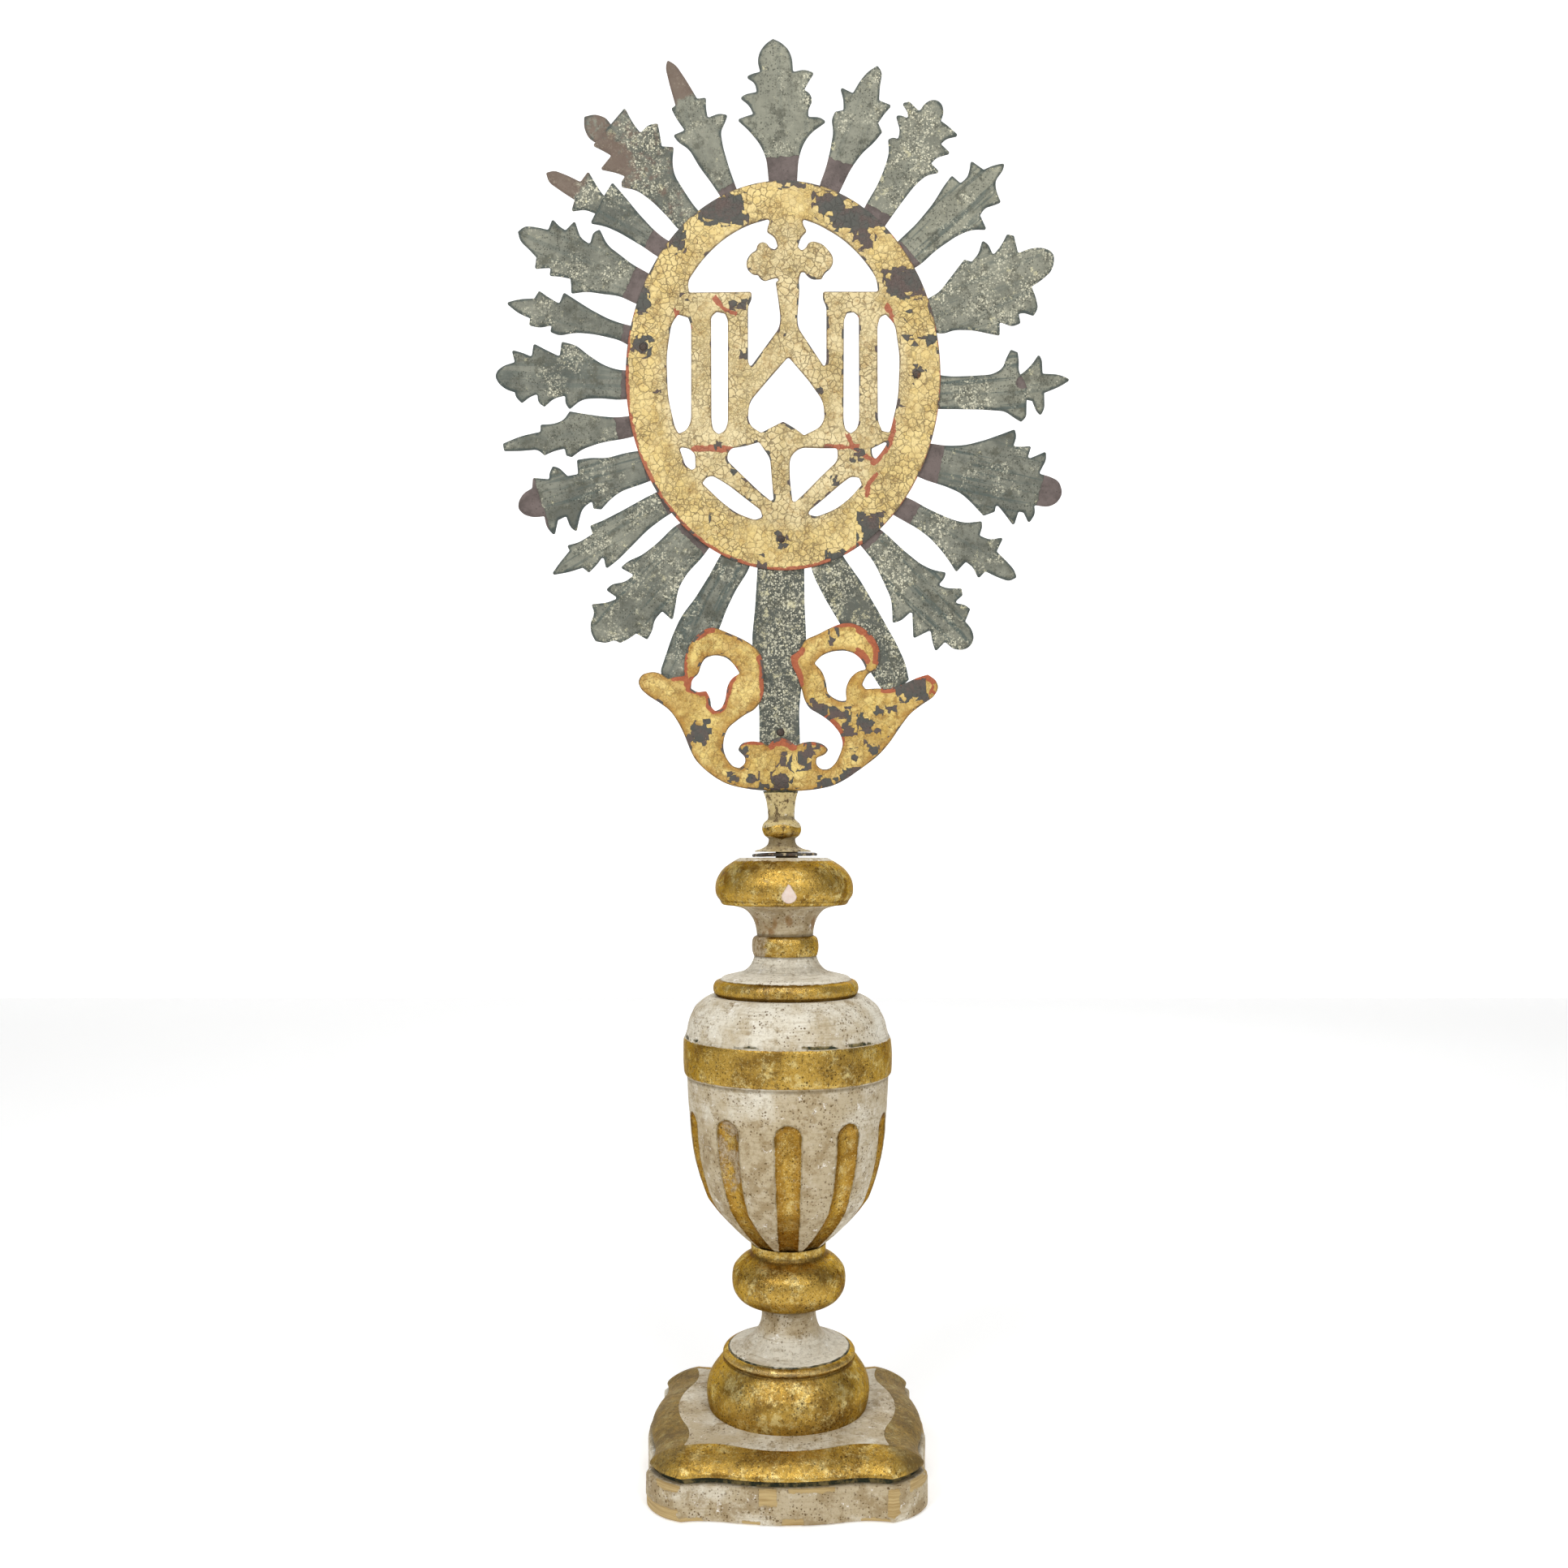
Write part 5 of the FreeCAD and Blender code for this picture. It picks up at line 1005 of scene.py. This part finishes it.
def look_of_bracket(x, z, edge):
    """Domed strap, flaked in boxes, with red ground along parts of its outline."""
    px = x - OFFSET
    bare = inside_boxes(BRACKET_BARE, px, z) - 0.5
    red = OUTSIDE
    for left, right, low, high, width in BRACKET_RED:
        if left <= px <= right and low <= z <= high:
            inner = min(0.0, inside_boxes([(left, right, low, high)], px, z) - 1.5)
            red = max(red, width + 0.8 + 0.5 * drift(x, 0.0, z, 5, 7.0) - edge + inner)
    bend = 0.35 * drift(x, 0.0, z, 36, 12.0) + 0.12 * drift(x, 0.0, z, 9, 2.0)
    rise = 0.5 * ease(edge, 1.5, 6.5)
    return bend * 0.8 - rise * 0.4, {"bare": bare, "red": red, "warm": 1.0}


def look_of_post(x, z, edge):
    near = ease(abs(z - 388.0), 2, 8) * ease(abs(z - 491.5), 2, 8)
    bend = 0.25 * drift(x, 0.0, z, 40, 14.0) * near
    spot = 1.8 - math.hypot(x - OFFSET + 1.3, z - 388.0)
    fleck = 1.5 - 0.5 * ease(2.5 - edge, 0, 2)
    return bend * 0.6, {"bare": spot, "tone": 0.05, "streak": 0.15, "fleck": fleck, "along": z, "across": x}


def look_of_strut(x, z, edge):
    return 0.12 * drift(x, 0.0, z, 14, 4.0), {}


# Three layers of metal: y of the front of each.
GILT_FRONT, PAINTED_FRONT, BACK_FRONT, BACK_OF_STRUT = -0.6, 0.6, 1.6, 4.1
make_sheet("ring_plate", GILT_FRONT, 1.2, GILT_SHEET, look_of_oval)
make_sheet("scroll_bracket", GILT_FRONT, 1.2, GILT_SHEET, look_of_bracket)
make_sheet("post", PAINTED_FRONT, 1.0, PAINTED_SHEET, look_of_post)
make_sheet("back_strut", BACK_FRONT, 2.5, IRON, look_of_strut)
for label in RAYS:
    depth = BACK_FRONT if label.endswith("_end") else PAINTED_FRONT
    make_sheet(label, depth, 1.0, PAINTED_SHEET, look_of_ray(label))


# ---------------------------------------------------------------- collar, rivets and nails
def make_collar():
    """Dished tin washer with a torn, turned-down rim, a little lower on the left."""
    around, verts = 144, []
    section = [(6.4, 322.9), (9.0, 322.7), (12.4, 322.5), (15.6, 322.2), (16.9, 321.6), (17.4, 322.0),
               (17.3, 322.9), (16.4, 323.3), (12.4, 323.5), (9.0, 323.6), (6.4, 323.6)]
    for radius, height in section:
        for i in range(around):
            angle = 2 * math.pi * i / around
            x, y = math.cos(angle), math.sin(angle)
            torn = 0.5 * drift(x * 9, y * 9, 0.0, 2.4, 1.0) if radius > 14 else 0.0
            x, y = (radius + torn) * x, (radius + torn) * y
            tilt = 0.02 * x * clamp((radius - 6.4) / 5) + 0.1 * drift(x, y, 0.0, 5, 3.0)
            verts.append((x - 1.2 * clamp((radius - 6.4) / 6), y, clamp(height + tilt, 320.95, 323.7)))
    make_piece("stem_collar", verts, skin(len(section), around, closed=True), TIN)


# Rivets: x and height on the sunburst, then y of the front and the back of the metal they hold.
RIVETS = [(-74.9, 594.6, GILT_FRONT, BACK_FRONT), (71.8, 579.8, GILT_FRONT, BACK_FRONT),
          (-0.9, 491.5, GILT_FRONT, BACK_OF_STRUT), (-1.3, 388.0, PAINTED_FRONT, BACK_OF_STRUT)]


def make_rivets():
    """Hand-set rivets: flattened domes front and back on a short shank."""
    verts, faces, around = [], [], 28
    dome = [(0.35, -0.8), (0.9, -0.74), (1.5, -0.54), (1.95, -0.25), (2.1, 0.12)]
    for number, (x, z, front, back) in enumerate(RIVETS):
        rings = [(r, front + y) for r, y in dome] + [(1.15, front + 0.2), (1.15, back - 0.2)]
        rings += [(r, back - y) for r, y in reversed(dome)]
        faces += skin(len(rings), around, first=len(verts))
        for radius, y in rings:
            for i in range(around):
                angle = 2 * math.pi * i / around
                across, up = math.cos(angle), math.sin(angle)
                reach = radius * (1 + 0.09 * drift(across * 3, number * 5.0, up * 3, 2.0))
                verts.append((x + OFFSET + reach * across, y, z + reach * up))
    make_piece("rivets", verts, [tuple(reversed(face)) for face in faces], IRON)


make_collar()
make_rivets()
nails = frame["nodes"]["plinth_nails"]
for slot in nails.material_slots:
    slot.material = IRON


# ---------------------------------------------------------------- floor, lights and camera
def stage_piece(name, points, faces, p, shade, glow, grain):
    """Part of the room: a matt surface that glows a little, so that it stays near white."""
    mesh = bpy.data.meshes.new(name)
    mesh.from_pydata(points, [], faces)
    piece = bpy.data.objects.new(name, mesh)
    bpy.context.scene.collection.objects.link(piece)
    p.put(p.shader.inputs["Emission Color"], (1, 1, 1, 1))
    p.put(p.shader.inputs["Emission Strength"], glow)
    mesh.materials.append(p.finish(shade, 0.9, 0.0, p.noise(grain, 3), 0.0001, 0.1))


def make_room():
    """Floor just under the plinth, and a white sweep far behind, as in a studio."""
    size, under = 6.0, -0.0005
    corners = [(-size, -size, under), (size, -size, under), (size, size, under), (-size, size, under)]
    paper = Paint("pale_floor")
    shade = paper.mix(paper.noise(4.0, 3), (0.86, 0.86, 0.855, 1), (0.88, 0.88, 0.875, 1))
    stage_piece("floor", corners, [(0, 1, 2, 3)], paper, shade, 0.32, 900)
    points, faces = [], []
    for i in range(17):
        turn = math.pi / 2 * min(1.0, i / 15)
        y, z = 2.2 + 0.8 * math.sin(turn), 0.8 - 0.8 * math.cos(turn) + (2.6 if i == 16 else 0.0)
        points += [(-5.0, y, z), (5.0, y, z)]
        if i:
            faces.append((2 * i - 2, 2 * i - 1, 2 * i + 1, 2 * i))
    stage_piece("backdrop", points, faces, Paint("white_sweep"), (0.8, 0.8, 0.8, 1), 0.75, 500)


def add_light(name, place, target, size, power):
    """Soft rectangular light that the camera doesn't see."""
    lamp = bpy.data.lights.new(name, "AREA")
    lamp.shape = "RECTANGLE"
    lamp.size, lamp.size_y = size
    lamp.energy = power
    holder = bpy.data.objects.new(name, lamp)
    holder.location = place
    holder.rotation_euler = (Vector(target) - Vector(place)).to_track_quat("-Z", "Y").to_euler()
    holder.visible_camera = False
    bpy.context.scene.collection.objects.link(holder)


def make_camera():
    """Level camera 0.7 m in front of the stack, at about the height of the knop."""
    camera = bpy.data.cameras.new("camera")
    camera.sensor_width = 36.0
    camera.lens = 30.1
    camera.shift_x = -0.0018
    camera.shift_y = 0.0424
    camera.clip_start = 0.01
    holder = bpy.data.objects.new("camera", camera)
    holder.location = (0.0, -0.703, 0.3247)
    holder.rotation_euler = (math.radians(90), 0, 0)
    bpy.context.scene.collection.objects.link(holder)
    bpy.context.scene.camera = holder


make_room()
add_light("left_window", (-0.85, -1.2, 1.25), (0, 0, 0.35), (0.45, 0.8), 10.0)
add_light("right_window", (0.6, -1.35, 1.15), (0, 0, 0.3), (0.45, 0.8), 8.5)
add_light("ceiling", (0.0, -0.45, 1.75), (0, -0.05, 0.1), (0.9, 0.4), 5.5)
add_light("back_fill", (0.3, 1.5, 1.2), (0, 0, 0.4), (1.2, 1.2), 4.0)
world = bpy.data.worlds.new("pale_room")
world.use_nodes = True
sky = world.node_tree.nodes["Background"]
sky.inputs["Color"].default_value = (1.0, 1.0, 1.0, 1)
sky.inputs["Strength"].default_value = 0.34
bpy.context.scene.world = world
bpy.context.scene.view_settings.view_transform = "Standard"
bpy.context.scene.view_settings.exposure = 0.0
make_camera()
